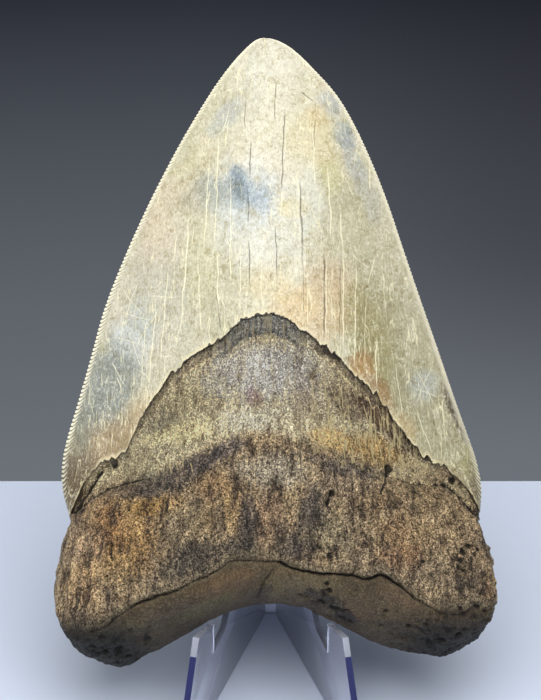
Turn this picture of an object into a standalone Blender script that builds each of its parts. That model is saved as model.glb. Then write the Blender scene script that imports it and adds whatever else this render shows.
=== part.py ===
"""A large fossil shark tooth leaning back on a clear moulded easel, at real size.

The tooth is one grown piece: crown, dark collar and two-lobed root. The easel is one clear moulding, a narrow
spine with two thin wings that open towards the front. Frame: +Z up, the shown face of the tooth looks along -Y,
+X is to the right of someone who looks at that face.
"""

import bisect
import math

import bmesh
import bpy
from mathutils import Matrix, Vector, noise

MM = 0.001

# ---- Driving sizes. Outlines on the tooth are (across, up) in millimetres in the plane of its cutting edges. ----
LEAN = math.radians(24.6)       # how far the tooth leans back from upright
TOOTH_FOOT = 9.4 * MM           # height of the lowest point of the root's outline over the table
TIP = (-2.5, 148.5)             # point of the crown
NECK = 35.0                     # height at which the crown meets the root along the sides

CROWN_LEFT = [(-6.6, 146.2), (-10.9, 141.4), (-17.3, 132.0), (-24.1, 120.2), (-30.1, 108.4), (-35.4, 96.6),
              (-40.0, 84.8), (-43.3, 73.0), (-46.3, 62.5), (-48.8, 54.1), (-50.0, 48.0), (-49.8, 42.0),
              (-47.6, NECK)]
CROWN_RIGHT = [(3.8, 146.2), (9.0, 141.4), (15.1, 134.4), (19.2, 127.3), (22.5, 120.2), (26.3, 110.7),
               (30.3, 98.9), (34.3, 87.1), (38.4, 75.3), (42.4, 63.5), (45.0, 56.2), (47.5, 48.9),
               (48.6, 42.3), (47.8, NECK)]
ROOT_UNDERSIDE = [(-51.4, 18.7), (-50.1, 12.2), (-45.5, 5.0), (-36.7, 1.1), (-30.2, 3.4), (-20.7, 8.0),
                  (-14.1, 11.8), (-4.5, 14.9), (5.9, 14.6), (15.6, 10.1), (22.9, 6.4), (32.4, 4.0),
                  (41.3, 4.2), (47.8, 9.0), (51.2, 15.5), (51.0, 22.0)]

# Depth of the shown face and of the back, in millimetres from the plane of the cutting edges, by height.
CROWN_FRONT = [(NECK, 19.0), (50.0, 16.0), (65.0, 13.6), (80.0, 11.6), (100.0, 8.8), (120.0, 6.0), (136.0, 3.6),
               (145.0, 1.8), (TIP[1], 0.0)]
CROWN_BACK = [(NECK, -4.9), (60.0, -4.6), (90.0, -3.8), (120.0, -2.4), (140.0, -1.2), (TIP[1], 0.0)]
ROOT_SWELL = 23.5               # depth of the shown face at the root's fullest line
ROOT_BACK = -5.0

ENAMEL_EDGE = [(-47.6, 36.4), (-44.7, 43.2), (-41.0, 47.9), (-35.1, 51.2), (-30.8, 59.3), (-25.1, 67.8),
               (-18.8, 73.4), (-12.4, 77.4), (-7.4, 81.7), (-0.1, 83.1), (4.6, 80.8), (9.6, 77.2), (14.8, 73.2),
               (19.2, 68.0), (24.0, 64.7), (31.5, 53.6), (37.2, 49.4), (45.2, 42.3), (48.5, 35.9)]
ENAMEL_STEP = 0.9
STEP_HALF_WIDTH = 0.5
BACK_ENAMEL_EDGE = [(-47.0, 36.5), (-34.0, 32.0), (-18.0, 33.0), (0.0, 38.5), (18.0, 33.0), (34.0, 32.0),
                    (47.0, 36.5)]
BACK_STEP = 0.5
COLLAR_FOOT = [(-44.0, 40.0), (-36.0, 43.6), (-29.0, 43.5), (-20.0, 49.0), (-9.3, 54.0), (0.0, 55.5),
               (12.0, 53.0), (22.0, 48.0), (29.2, 44.2), (37.4, 43.2), (46.0, 38.5)]
COLLAR_DIP = 0.8
SWELL_LINE = [(-52.0, 13.0), (-46.0, 10.0), (-41.2, 9.6), (-33.9, 14.2), (-25.6, 17.5), (-15.9, 21.5),
              (-7.9, 25.5), (0.4, 24.8), (11.7, 21.5), (25.6, 21.5), (31.3, 17.9), (37.0, 14.2), (44.0, 12.5),
              (52.0, 15.0)]
CRACK_DEPTH = 1.2
CRACK_HALF_WIDTH = 0.6
CRACK_ENDS = (-42.0, 38.0)
LUMP = 0.7                      # height of the root's lumps
LUMP_SPACING = 11.0

COLUMNS = 46                    # faces across each side of the tooth
BLADE_ROWS = 20                 # from the point to the enamel's edge
COLLAR_ROWS = 10                # from the enamel's edge to the neck
FACE_ROWS = 6                   # from the neck to the crack along the root's fullest line
UNDER_ROWS = 8                  # from the crack to the underside

# Pits and vessel holes: (across, up, radius) on the shown face.
PITS = [(26.8, 47.0, 1.5), (20.2, 40.6, 1.0), (0.6, 65.0, 0.9), (42.6, 32.3, 1.3), (46.0, 21.7, 1.2),
        (8.5, 19.2, 1.4), (13.5, 15.4, 1.6), (-38.1, 47.5, 0.9), (34.0, 9.0, 1.3), (-39.0, 5.6, 1.1)]

# The easel, in millimetres. Along a wing, "out" is the distance from its front foot back towards the spine.
SHEET = 1.5                     # thickness of the moulding
WING_SPLAY = math.radians(16.8)
EASEL_SHIFT = -0.9              # the easel stands this far to the left of the tooth's middle
FOOT_ACROSS = 20.8              # from the easel's middle to each front foot
FOOT_AHEAD = 24.3               # from under the tooth's foot to each front foot
LIP_FRONT = (13.3, 25.2)        # (out, up) of the lip's front corner
LIP_TIP = (24.6, 22.0)
NOTCH = (23.8, 14.5)
SEAT = [(28.0, 15.2), (32.4, 15.7)]
REST_GAP = 0.3                  # clear space between the tooth and what carries it
REST_TOP = 74.0
SPINE_GAP = 3.7                 # between the wings where they meet the spine
TOE_RADIUS = 2.0
FOOTPRINT_MIDDLE = 18.9 * MM    # from over the tooth's foot back to the middle of the whole display


def smooth_curve(points):
    """A function through (x, value) points, smooth between them and level beyond its ends."""
    xs, values = zip(*sorted(points))
    slopes = []
    for i in range(len(xs)):
        before, after = max(i - 1, 0), min(i + 1, len(xs) - 1)
        slopes.append((values[after] - values[before]) / (xs[after] - xs[before]))

    def at(x):
        x = min(max(x, xs[0]), xs[-1])
        i = min(bisect.bisect_right(xs, x), len(xs) - 1) - 1
        span = xs[i + 1] - xs[i]
        t = (x - xs[i]) / span
        return (
            values[i] * (2 * t**3 - 3 * t**2 + 1)
            + values[i + 1] * (3 * t**2 - 2 * t**3)
            + slopes[i] * span * (t**3 - 2 * t**2 + t)
            + slopes[i + 1] * span * (t**3 - t**2)
        )

    return at


def ease(low, high, x):
    """0 below low, 1 above high, and a smooth rise between."""
    t = min(max((x - low) / (high - low), 0.0), 1.0)
    return t * t * (3 - 2 * t)


def by_length(points):
    """Two smooth functions, across and up, along an outline from -1 at its first point to 1 at its last."""
    travelled = [0.0]
    for a, b in zip(points, points[1:]):
        travelled.append(travelled[-1] + math.dist(a, b))
    places = [2 * d / travelled[-1] - 1 for d in travelled]
    return tuple(smooth_curve(list(zip(places, side))) for side in zip(*points))


def below_tip(outline):
    """The crown's edge as a function of the square root of the distance below the point, which rounds the point off."""
    ends = [(0.0, TIP[0])]
    return smooth_curve(ends + [(math.sqrt(TIP[1] - up), across) for across, up in outline])


crown_left, crown_right = below_tip(CROWN_LEFT), below_tip(CROWN_RIGHT)
crown_front, crown_back = smooth_curve(CROWN_FRONT), smooth_curve(CROWN_BACK)
under_across, under_up = by_length(ROOT_UNDERSIDE)
enamel_edge, back_enamel_edge = smooth_curve(ENAMEL_EDGE), smooth_curve(BACK_ENAMEL_EDGE)
collar_foot, swell_line = smooth_curve(COLLAR_FOOT), smooth_curve(SWELL_LINE)


def crown_place(side, up):
    """(across, up) on the crown: side runs -1 to 1 from one cutting edge to the other."""
    drop = math.sqrt(max(TIP[1] - up, 0.0))
    left, right = crown_left(drop), crown_right(drop)
    return left + (right - left) * (side + 1) / 2, up


def crown_row(side, row_up):
    """The place in this column where a row lies, its height given as a function of the place across."""
    low, high = NECK, TIP[1]
    for _ in range(30):
        up = (low + high) / 2
        if row_up(crown_place(side, up)[0]) > up:
            low = up
        else:
            high = up
    return crown_place(side, up)


def root_place(side, fall):
    """(across, up) on the root: fall runs 0 to 1 from the neck to the underside."""
    neck_across, _ = crown_place(side, NECK)
    across = neck_across + (under_across(side) - neck_across) * fall
    bulge = 0.5 * side * math.sin(math.pi * fall)
    return across + bulge, NECK + (under_up(side) - NECK) * fall


def swell_fall(side, above=0.0):
    """How far down the root's fullest line lies in this column, or a line this much above it."""
    fall = 0.5
    for _ in range(4):
        line = swell_line(root_place(side, fall)[0]) + above
        fall = min(max((NECK - line) / (NECK - under_up(side)), 0.25), 0.9)
    return fall


def row_places():
    """Every row of the tooth from its point to its underside, each a function of side giving (across, up, fall).

    Rows lie close on both sides of the enamel's edge and of the crack, so that both stay crisp.
    """
    rows = []

    def on_crown(row_up):
        rows.append(lambda side: (*crown_row(side, row_up), None))

    def on_root(fall_of):
        rows.append(lambda side: (*root_place(side, fall_of(side)), fall_of(side)))

    for i in range(BLADE_ROWS + 1):
        share = (i / BLADE_ROWS) ** 1.25
        on_crown(lambda across, share=share: TIP[1] + (enamel_edge(across) + STEP_HALF_WIDTH - TIP[1]) * share)
    for i in range(COLLAR_ROWS + 1):
        share = i / COLLAR_ROWS
        on_crown(lambda across, share=share: NECK + max(enamel_edge(across) - STEP_HALF_WIDTH - NECK, 0.0)
                 * (1 - share))
    for i in range(1, FACE_ROWS + 1):
        on_root(lambda side, share=i / FACE_ROWS: swell_fall(side, CRACK_HALF_WIDTH) * share)
    on_root(swell_fall)
    for i in range(UNDER_ROWS + 1):
        share = 1 - (1 - i / UNDER_ROWS) ** 1.5
        on_root(lambda side, share=share: swell_fall(side, -CRACK_HALF_WIDTH) * (1 - share) + share)
    return rows


def root_share(across, up):
    """0 on the crown's blade, 1 on the thick root."""
    return ease(56.0 - 0.14 * abs(across), 30.0, up) if up > 30.0 else 1.0


def edge_depth(side, up, on_root):
    """Depth of the rim where shown face and back meet: the cutting edges, then the middle of the root's thickness."""
    lobe = ease(0.25, 0.75, abs(side))
    return on_root * (0.8 + 5.2 * lobe)


def shown_relief(across, up):
    """Height of the shown face's own forms over its plain swelling."""
    enamel = ease(-STEP_HALF_WIDTH, STEP_HALF_WIDTH, up - enamel_edge(across))
    height = ENAMEL_STEP * (enamel - 1)
    collar_place = (up - collar_foot(across)) / max(enamel_edge(across) - collar_foot(across), 2.0)
    if 0 < collar_place < 1:
        height -= COLLAR_DIP * math.sin(math.pi * collar_place)
    height -= 0.6 * math.exp(-(((up - collar_foot(across)) / 1.6) ** 2))
    height += 0.9 * math.exp(-(((up - collar_foot(across) + 5.0) / 3.5) ** 2))
    lump = noise.fractal(Vector((across, up, 3.0)) / LUMP_SPACING, 0.7, 2.0, 4)
    height += LUMP * lump * (1 - 0.85 * enamel)
    crack = max(1 - abs(up - swell_line(across)) / CRACK_HALF_WIDTH, 0.0)
    running_out = ease(0.0, 4.0, min(across - CRACK_ENDS[0], CRACK_ENDS[1] - across))
    return height - CRACK_DEPTH * crack * running_out


def back_relief(across, up):
    """The step at the enamel's edge on the back."""
    return BACK_STEP * (ease(-1.2, 1.2, up - back_enamel_edge(across)) - 1)


def depth(side, across, up, fall, front):
    """Distance from the plane of the cutting edges to the shown face, or to the back."""
    on_root = root_share(across, up)
    rim = edge_depth(side, up, on_root)
    blade = 0.6 * (1 - side**2) + 0.4 * math.cos(math.pi * side / 2) ** 2
    slab = max(1 - abs(side) ** 3.2, 0.0) ** 0.5
    flat = 0.5 * (1 - side**2) + 0.5 * (1 - side**4)
    if front:
        full = crown_front(up)
        closing = 1.0
        if fall is not None:
            swell = swell_fall(side)
            fullest = ROOT_SWELL - 2.0 * abs(side)
            if fall < swell:
                full += (fullest - full) * math.sin(math.pi / 2 * fall / swell)
            else:
                full = fullest
                closing = max(1 - ((fall - swell) / (1 - swell)) ** 1.8, 0.0) ** 0.62
        across_form = blade + (slab - blade) * on_root
        thick = (full - rim) * across_form * closing
        settle = min(1.0, thick / 4.0)
        return rim + thick + shown_relief(across, up) * settle
    full = crown_back(up)
    closing = 1.0
    if fall is not None:
        full += (ROOT_BACK - full) * min(fall * 2, 1.0)
        closing = max(1 - fall**5, 0.0) ** 0.5
    across_form = flat + (max(1 - side**4, 0.0) ** 0.5 - flat) * on_root
    thick = (full - rim) * across_form * closing
    return rim + thick - back_relief(across, up) * min(1.0, -thick / 2.0)


def on_stand(across, up, out):
    """A place on the tooth, in millimetres, as a place in the world, in metres."""
    y = up * math.sin(LEAN) - out * math.cos(LEAN)
    z = up * math.cos(LEAN) + out * math.sin(LEAN)
    return Vector((across * MM, y * MM, TOOTH_FOOT + z * MM))


def add_face_sheet(bm, front):
    """One side of the tooth: a grid whose columns run edge to edge and whose rows run point to underside."""
    rows = row_places()
    last = len(rows) - 1
    made = bmesh.ops.create_grid(bm, x_segments=COLUMNS, y_segments=last, size=1.0)
    for vert in made["verts"]:
        even = vert.co.x
        side = 0.6 * math.sin(math.pi / 2 * even) + 0.4 * even
        across, up, fall = rows[round((1 - vert.co.y) / 2 * last)](side)
        vert.co = on_stand(across, up, depth(side, across, up, fall, front))
    if not front:
        bmesh.ops.reverse_faces(bm, faces=list({face for vert in made["verts"] for face in vert.link_faces}))


def plain_material(name, colour, roughness, transmission=0.0):
    material = bpy.data.materials.new(name)
    material.use_nodes = True
    shader = material.node_tree.nodes["Principled BSDF"]
    shader.inputs["Base Color"].default_value = (*colour, 1.0)
    shader.inputs["Roughness"].default_value = roughness
    shader.inputs["Metallic"].default_value = 0.0
    shader.inputs["Transmission Weight"].default_value = transmission
    if transmission:
        shader.inputs["IOR"].default_value = 1.49
    return material


def add_object(name, bm, collection, material):
    mesh = bpy.data.meshes.new(name)
    bmesh.ops.recalc_face_normals(bm, faces=bm.faces)
    bm.to_mesh(mesh)
    bm.free()
    mesh.materials.append(material)
    made = bpy.data.objects.new(name, mesh)
    collection.objects.link(made)
    return made


def add_boolean(target, other, operation):
    joint = target.modifiers.new(other.name, "BOOLEAN")
    joint.operation = operation
    joint.solver = "EXACT"
    joint.object = other


def hide_helper(helper):
    helper.hide_render = True
    helper.display_type = "WIRE"


def build_tooth(parts, helpers):
    bm = bmesh.new()
    add_face_sheet(bm, True)
    add_face_sheet(bm, False)
    bmesh.ops.remove_doubles(bm, verts=bm.verts, dist=1e-6)
    tooth = add_object("tooth", bm, parts, plain_material("fossil_tooth", (0.44, 0.37, 0.25), 0.55))
    pits = bmesh.new()
    for across, up, radius in PITS:
        place = on_stand(across, up, shown_depth_at(across, up))
        size = radius * MM
        made = bmesh.ops.create_icosphere(pits, subdivisions=1, radius=size)
        bmesh.ops.scale(pits, verts=made["verts"], vec=(1.0, 1.0, 1.3))
        bmesh.ops.translate(pits, verts=made["verts"], vec=place)
    cutter = add_object("pit_cutter", pits, helpers, tooth.data.materials[0])
    hide_helper(cutter)
    add_boolean(tooth, cutter, "DIFFERENCE")
    tooth.data.shade_smooth()
    tooth.data.set_sharp_from_angle(angle=math.radians(50))
    return tooth


def shown_depth_at(across, up):
    """Depth of the shown face under a point of the outline plane, found by closing in on its column."""
    if up >= NECK:
        left, right = crown_place(-1, up)[0], crown_place(1, up)[0]
        side = 2 * (across - left) / (right - left) - 1
        return depth(side, across, up, None, True)
    side, fall = across / 50, 0.5
    for _ in range(12):
        here_across, here_up = root_place(side, fall)
        side += (across - here_across) / 50
        fall += (here_up - up) / 30
    return depth(side, across, up, fall, True)


def wing_outline():
    """The wing's edge as (out, up) points, from its front foot round by the lip, the seat and the back rest."""
    rest_out = REST_GAP - ROOT_BACK
    rest_foot = (TOOTH_FOOT / MM - rest_out * math.sin(LEAN), rest_out * math.cos(LEAN))

    def rest(up):
        y = rest_foot[1] + (up - rest_foot[0]) * math.tan(LEAN)
        return ((y + FOOT_AHEAD) / math.cos(WING_SPLAY), up)

    spine = wing_length()
    toe = [
        (TOE_RADIUS * (1.3 - math.cos(turn)), TOE_RADIUS * (1 - math.sin(turn)))
        for turn in (math.radians(a) for a in (90, 60, 30, 0))
    ]
    top = (REST_TOP, REST_TOP - 3.0)
    rise = [rest(19.5), rest(top[1]), (rest(top[1])[0] + 1.2, top[0]), (spine, top[0])]
    return toe + [LIP_FRONT, LIP_TIP, (NOTCH[0] + 0.1, LIP_TIP[1] - 0.8), NOTCH, *SEAT, *rise, (spine, 0.0)]


def wing_length():
    """From the front foot back to the spine."""
    return (FOOT_ACROSS - SPINE_GAP / 2) / math.sin(WING_SPLAY)


def add_plate(name, outline, thickness, collection, material):
    """A flat plate with this outline, standing in its own XZ plane with its thickness along Y."""
    drawn = bpy.data.curves.new(name, "CURVE")
    drawn.dimensions = "2D"
    drawn.fill_mode = "BOTH"
    drawn.extrude = thickness * MM / 2
    spline = drawn.splines.new("POLY")
    spline.points.add(len(outline) - 1)
    for point, (x, y) in zip(spline.points, outline):
        point.co = (x * MM, y * MM, 0.0, 1.0)
    spline.use_cyclic_u = True
    flat = bpy.data.objects.new(name + "_outline", drawn)
    collection.objects.link(flat)
    bpy.context.view_layer.update()
    graph = bpy.context.evaluated_depsgraph_get()
    mesh = bpy.data.meshes.new_from_object(flat.evaluated_get(graph))
    bpy.data.objects.remove(flat)
    bm = bmesh.new()
    bm.from_mesh(mesh)
    bmesh.ops.remove_doubles(bm, verts=bm.verts, dist=1e-6)
    bmesh.ops.rotate(bm, verts=bm.verts, cent=(0, 0, 0), matrix=Matrix.Rotation(math.pi / 2, 3, "X"))
    return add_object(name, bm, collection, material)


def build_easel(parts, helpers):
    clear = plain_material("clear_plastic", (0.9, 0.94, 0.97), 0.05, 1.0)
    wings = []
    for name, side in (("stand", -1), ("right_wing", 1)):
        home = parts if side < 0 else helpers
        wing = add_plate(name, wing_outline(), SHEET, home, clear)
        wing.data.transform(Matrix.Rotation(math.pi / 2 + side * WING_SPLAY, 4, "Z"))
        wing.data.transform(
            Matrix.Translation(((EASEL_SHIFT + side * FOOT_ACROSS) * MM, -FOOT_AHEAD * MM, 0.0))
        )
        wings.append(wing)
    back = wing_length() * math.cos(WING_SPLAY) - FOOT_AHEAD
    half = SPINE_GAP / 2 + SHEET / 2
    outline = [(-half, -1.2), (half, -1.2), (half - 0.4, SHEET / 2 - 0.1), (-half + 0.4, SHEET / 2 - 0.1)]
    spine = add_plate("spine", outline, REST_TOP, helpers, clear)
    spine.data.transform(Matrix.Rotation(-math.pi / 2, 4, "X"))
    spine.data.transform(Matrix.Translation((EASEL_SHIFT * MM, (back + 0.3) * MM, REST_TOP * MM / 2)))
    for other in (wings[1], spine):
        hide_helper(other)
        add_boolean(wings[0], other, "UNION")
    return wings[0]


def set_over_origin(parts, helpers):
    """Everything hangs on one empty, which brings the middle of the display over the origin."""
    base = bpy.data.objects.new("display", None)
    base.location = (0.0, -FOOTPRINT_MIDDLE, 0.0)
    parts.objects.link(base)
    for thing in [*parts.objects, *helpers.objects]:
        if thing != base:
            thing.parent = base


def main():
    for thing in list(bpy.data.objects):
        bpy.data.objects.remove(thing)
    parts = bpy.data.collections.new("fossil_tooth_on_easel")
    helpers = bpy.data.collections.new("cutters")
    for collection in (parts, helpers):
        bpy.context.scene.collection.children.link(collection)
    build_tooth(parts, helpers)
    build_easel(parts, helpers)
    set_over_origin(parts, helpers)


main()
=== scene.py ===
"""A large fossil shark tooth that leans back on a clear moulded easel: the finish of every surface."""

import math

import bpy
import numpy as np
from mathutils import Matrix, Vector, noise


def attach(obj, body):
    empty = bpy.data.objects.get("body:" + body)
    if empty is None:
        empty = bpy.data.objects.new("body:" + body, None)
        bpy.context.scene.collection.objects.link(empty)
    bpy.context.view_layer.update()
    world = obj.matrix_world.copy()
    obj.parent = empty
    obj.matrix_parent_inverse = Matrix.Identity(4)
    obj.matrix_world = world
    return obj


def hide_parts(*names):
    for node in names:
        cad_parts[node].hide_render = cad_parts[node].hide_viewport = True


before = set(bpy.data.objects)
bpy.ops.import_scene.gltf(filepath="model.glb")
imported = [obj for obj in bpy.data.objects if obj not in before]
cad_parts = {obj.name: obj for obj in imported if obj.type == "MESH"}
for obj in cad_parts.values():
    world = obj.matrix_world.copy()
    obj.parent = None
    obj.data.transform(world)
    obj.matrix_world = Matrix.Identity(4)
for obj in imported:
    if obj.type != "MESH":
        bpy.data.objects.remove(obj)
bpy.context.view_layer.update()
bpy.ops.object.select_all(action="DESELECT")

# ---- Camera ----
# It stands in front of the display, a little above it, and looks down along the tooth's own lean, so that
# the shown face is seen square on from 450 mm.
LEAN = math.radians(24.6)
CAMERA_PLACE = (-0.00094, -0.3969, 0.26477)
EYE_ACROSS, EYE_UP, EYE_AWAY = -0.94, 74.85, 450.0      # the same place on the tooth's own axes, in mm
SENSOR = 36.0
FOCAL_PIXELS = 1906
FRAME_PIXELS = 541
bpy.ops.object.camera_add(location=CAMERA_PLACE, rotation=(math.pi / 2 - LEAN, 0.0, 0.0))
camera = bpy.context.object
camera.data.sensor_fit = "HORIZONTAL"
camera.data.sensor_width = SENSOR
camera.data.lens = SENSOR * FOCAL_PIXELS / FRAME_PIXELS
camera.data.clip_start = 0.01
bpy.context.scene.camera = camera

# ---- Crown ----
# The enamel cap of the tooth: a thin hard shell, cream with grey and yellow stains, that comes to two finely
# serrated cutting edges. It is broken off along a ragged line, below which the darker core is bare.
MM = 0.001
TOOTH_FOOT = 9.4                # height of the lowest point of the outline over the table
FOOTPRINT_MIDDLE = 18.9         # from over the tooth's foot back to the middle of the display
TIP = (-2.5, 148.5)
NECK = 35.0
CROWN_LEFT = [(-6.6, 146.2), (-10.9, 141.4), (-17.3, 132.0), (-24.1, 120.2), (-30.1, 108.4), (-35.4, 96.6),
              (-40.0, 84.8), (-43.3, 73.0), (-46.3, 62.5), (-48.8, 54.1), (-50.0, 48.0), (-49.8, 42.0),
              (-47.6, NECK)]
CROWN_RIGHT = [(3.8, 146.2), (9.0, 141.4), (15.1, 134.4), (19.2, 127.3), (22.5, 120.2), (26.3, 110.7),
               (30.3, 98.9), (34.3, 87.1), (38.4, 75.3), (42.4, 63.5), (45.0, 56.2), (47.5, 48.9),
               (48.6, 42.3), (47.8, NECK)]
CROWN_FRONT = [(NECK, 19.0), (50.0, 16.0), (65.0, 13.6), (80.0, 11.6), (100.0, 8.8), (120.0, 6.0), (136.0, 3.6),
               (145.0, 1.8), (TIP[1], 0.0)]
CROWN_BACK = [(NECK, -4.9), (60.0, -4.6), (90.0, -3.8), (120.0, -2.4), (140.0, -1.2), (TIP[1], 0.0)]
ENAMEL_EDGE = [(-47.6, 36.4), (-44.7, 43.2), (-41.0, 47.9), (-35.1, 51.2), (-30.8, 59.3), (-25.1, 67.8),
               (-18.8, 73.4), (-12.4, 77.4), (-7.4, 81.7), (-0.1, 83.1), (4.6, 80.8), (9.6, 77.2), (14.8, 73.2),
               (19.2, 68.0), (24.0, 64.7), (31.5, 53.6), (37.2, 49.4), (45.2, 42.3), (48.5, 35.9)]
BACK_ENAMEL_EDGE = [(-47.6, 36.4), (-34.0, 32.0), (-18.0, 33.0), (0.0, 38.5), (18.0, 33.0), (34.0, 32.0),
                    (48.5, 35.9)]
ENAMEL_STEP = 0.9
LUMP = 0.7
LUMP_SPACING = 11.0
CROWN_COLUMNS = 176
CROWN_BACK_COLUMNS = 44
SERRATIONS = 130                # along each cutting edge, three rows of the mesh to each
CROWDING = 1.2                  # above 1, the rows lie closer together towards the point


def curve_through(points):
    """A function through (x, value) points, smooth between them and level beyond its ends."""
    xs, values = np.array(sorted(points), float).T
    before = np.maximum(np.arange(len(xs)) - 1, 0)
    after = np.minimum(np.arange(len(xs)) + 1, len(xs) - 1)
    slopes = (values[after] - values[before]) / (xs[after] - xs[before])

    def at(x):
        x = np.clip(x, xs[0], xs[-1])
        i = np.clip(np.searchsorted(xs, x, side="right") - 1, 0, len(xs) - 2)
        span = xs[i + 1] - xs[i]
        t = (x - xs[i]) / span
        return (
            values[i] * (2 * t**3 - 3 * t**2 + 1)
            + values[i + 1] * (3 * t**2 - 2 * t**3)
            + slopes[i] * span * (t**3 - 2 * t**2 + t)
            + slopes[i + 1] * span * (t**3 - t**2)
        )

    return at


def ease(low, high, x):
    t = np.clip((x - low) / (high - low), 0.0, 1.0)
    return t * t * (3 - 2 * t)


def below_tip(outline):
    ends = [(0.0, TIP[0])]
    return curve_through(ends + [(math.sqrt(TIP[1] - up), across) for across, up in outline])


crown_left, crown_right = below_tip(CROWN_LEFT), below_tip(CROWN_RIGHT)
crown_front, crown_back = curve_through(CROWN_FRONT), curve_through(CROWN_BACK)
enamel_line, back_enamel_edge = curve_through(ENAMEL_EDGE), curve_through(BACK_ENAMEL_EDGE)

ragged_across = np.arange(-52.0, 52.0, 0.1)
ragged_up = np.array([
    0.9 * noise.fractal(Vector((x * 0.28, 4.0, 0.0)), 0.5, 2.1, 5)
    - 0.9 * max(0.0, abs(noise.noise(Vector((x * 0.42, 9.0, 0.0)))) - 0.28) * 4
    + 0.5 * noise.noise(Vector((x * 1.2, 14.0, 0.0)))
    for x in ragged_across
]) * ease(0.0, 4.0, 46.0 - np.abs(ragged_across))


def enamel_edge(across):
    """The broken edge of the enamel, with its small chips."""
    return enamel_line(across) + np.interp(across, ragged_across, ragged_up)


def crown_place(side, up):
    """(across, up) on the crown: side runs -1 to 1 from one cutting edge to the other."""
    drop = np.sqrt(np.maximum(TIP[1] - up, 0.0))
    left, right = crown_left(drop), crown_right(drop)
    return left + (right - left) * (side + 1) / 2, up


def meets(side, edge):
    """The height at which each column of the crown meets an edge, given as a function of the place across."""
    low, high = np.full(side.shape, 25.0), np.full(side.shape, TIP[1])
    for _ in range(40):
        up = (low + high) / 2
        above = edge(crown_place(side, up)[0]) > up
        low, high = np.where(above, up, low), np.where(above, high, up)
    return up


def rim_side(side):
    return np.where(side < 0, -1.0, 1.0)


def root_share(across, up):
    """0 on the crown's blade, 1 on the thick root."""
    return np.where(up > 30.0, ease(56.0 - 0.14 * np.abs(across), 30.0, up), 1.0)


def rim_depth(side, on_root):
    """Depth of the rim where shown face and back meet."""
    return on_root * (0.8 + 5.2 * ease(0.25, 0.75, np.abs(side)))


def lumps(across, up):
    flat = zip(across.ravel() / LUMP_SPACING, up.ravel() / LUMP_SPACING)
    made = [noise.fractal(Vector((x, y, 3.0 / LUMP_SPACING)), 0.7, 2.0, 4) for x, y in flat]
    return np.array(made).reshape(across.shape)


def fullness(side, on_root, front):
    """The form of a level section, 1 at its middle and 0 at its rims: a lens on the blade, a slab on the root."""
    if front:
        lens = 0.6 * (1 - side**2) + 0.4 * np.cos(math.pi * side / 2) ** 2
        slab = np.maximum(1 - np.abs(side) ** 3.2, 0.0) ** 0.5
    else:
        lens = 0.5 * (1 - side**2) + 0.5 * (1 - side**4)
        slab = np.maximum(1 - side**4, 0.0) ** 0.5
    return lens + (slab - lens) * on_root


def crown_depth(side, across, up, front):
    """Distance from the plane of the cutting edges to the enamel's surface."""
    on_root = root_share(across, up)
    rim = rim_depth(side, on_root)
    thick = ((crown_front if front else crown_back)(up) - rim) * fullness(side, on_root, front)
    if front:
        return rim + thick + LUMP * 0.15 * lumps(across, up) * np.minimum(1.0, thick / 4.0)
    return rim + thick


def in_display(across, up, out):
    """Places on the tooth, in millimetres, as places in the display, in metres."""
    y = up * math.sin(LEAN) - out * math.cos(LEAN) - FOOTPRINT_MIDDLE
    z = TOOTH_FOOT + up * math.cos(LEAN) + out * math.sin(LEAN)
    return np.stack([across, y, z], axis=-1) * MM


def serrate(side, across, up, out, row):
    """Small rounded lobes with narrow clefts along both cutting edges, each with a short ridge on the faces."""
    drop = np.sqrt(np.maximum(TIP[1] - up, 0.0))
    from_rim = (1 - np.abs(side)) * (crown_right(drop) - crown_left(drop)) / 2
    lobe = np.array([-1.0, 0.55, 0.55])[row % 3]
    size = serration_size[row // 3 % SERRATIONS] * ease(0.0, 12.0, TIP[1] - up)
    size = size * (0.6 + 0.4 * ease(110, 70, up)) * ease(36.5, 41.0, up)
    pushed = across + np.sign(side) * lobe * size * 0.2 * np.clip(1 - from_rim / 1.0, 0, 1)
    ridge = lobe * size * np.clip(1 - from_rim / 2.0, 0, 1)
    return pushed, out + ridge * 0.07 * np.sign(out + 1e-6) * ease(0, 0.4, from_rim), ridge, from_rim


def vectors_of(items, what):
    """A vector of every vertex or normal of a mesh, one to a row."""
    flat = np.empty(len(items) * 3)
    items.foreach_get(what, flat)
    return flat.reshape(-1, 3)


def keep_masks(mesh, masks):
    """Each mask becomes an attribute that the materials read."""
    for name, values in masks.items():
        mesh.attributes.new(name, "FLOAT", "POINT").data.foreach_set("value", values.astype(np.float32))


def tooth_sheet(name, columns, rows, place, front, evenness=0.4):
    """One face of a piece of the tooth: a grid laid out at size, then moved point by point on to its form."""
    bpy.ops.mesh.primitive_grid_add(x_subdivisions=columns, y_subdivisions=rows, size=2.0)
    sheet = bpy.context.object
    sheet.name = name
    even, fore, _ = vectors_of(sheet.data.vertices, "co").T
    row = np.rint((1 - fore) / 2 * rows).astype(int)
    side = (1 - evenness) * np.sin(math.pi / 2 * even) + evenness * even
    side = np.where(np.abs(even) > 0.999999, np.sign(even), side)
    across, up, out, masks = place(side, row)
    sheet.data.vertices.foreach_set("co", in_display(across, up, out).ravel())
    keep_masks(sheet.data, {**masks, "across": across})
    if not front:
        sheet.data.flip_normals()
    return sheet


def select_only(*chosen):
    """Selects these objects and no others; the first is the active one."""
    bpy.ops.object.select_all(action="DESELECT")
    for each in chosen:
        each.select_set(True)
    bpy.context.view_layer.objects.active = chosen[0]


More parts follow.
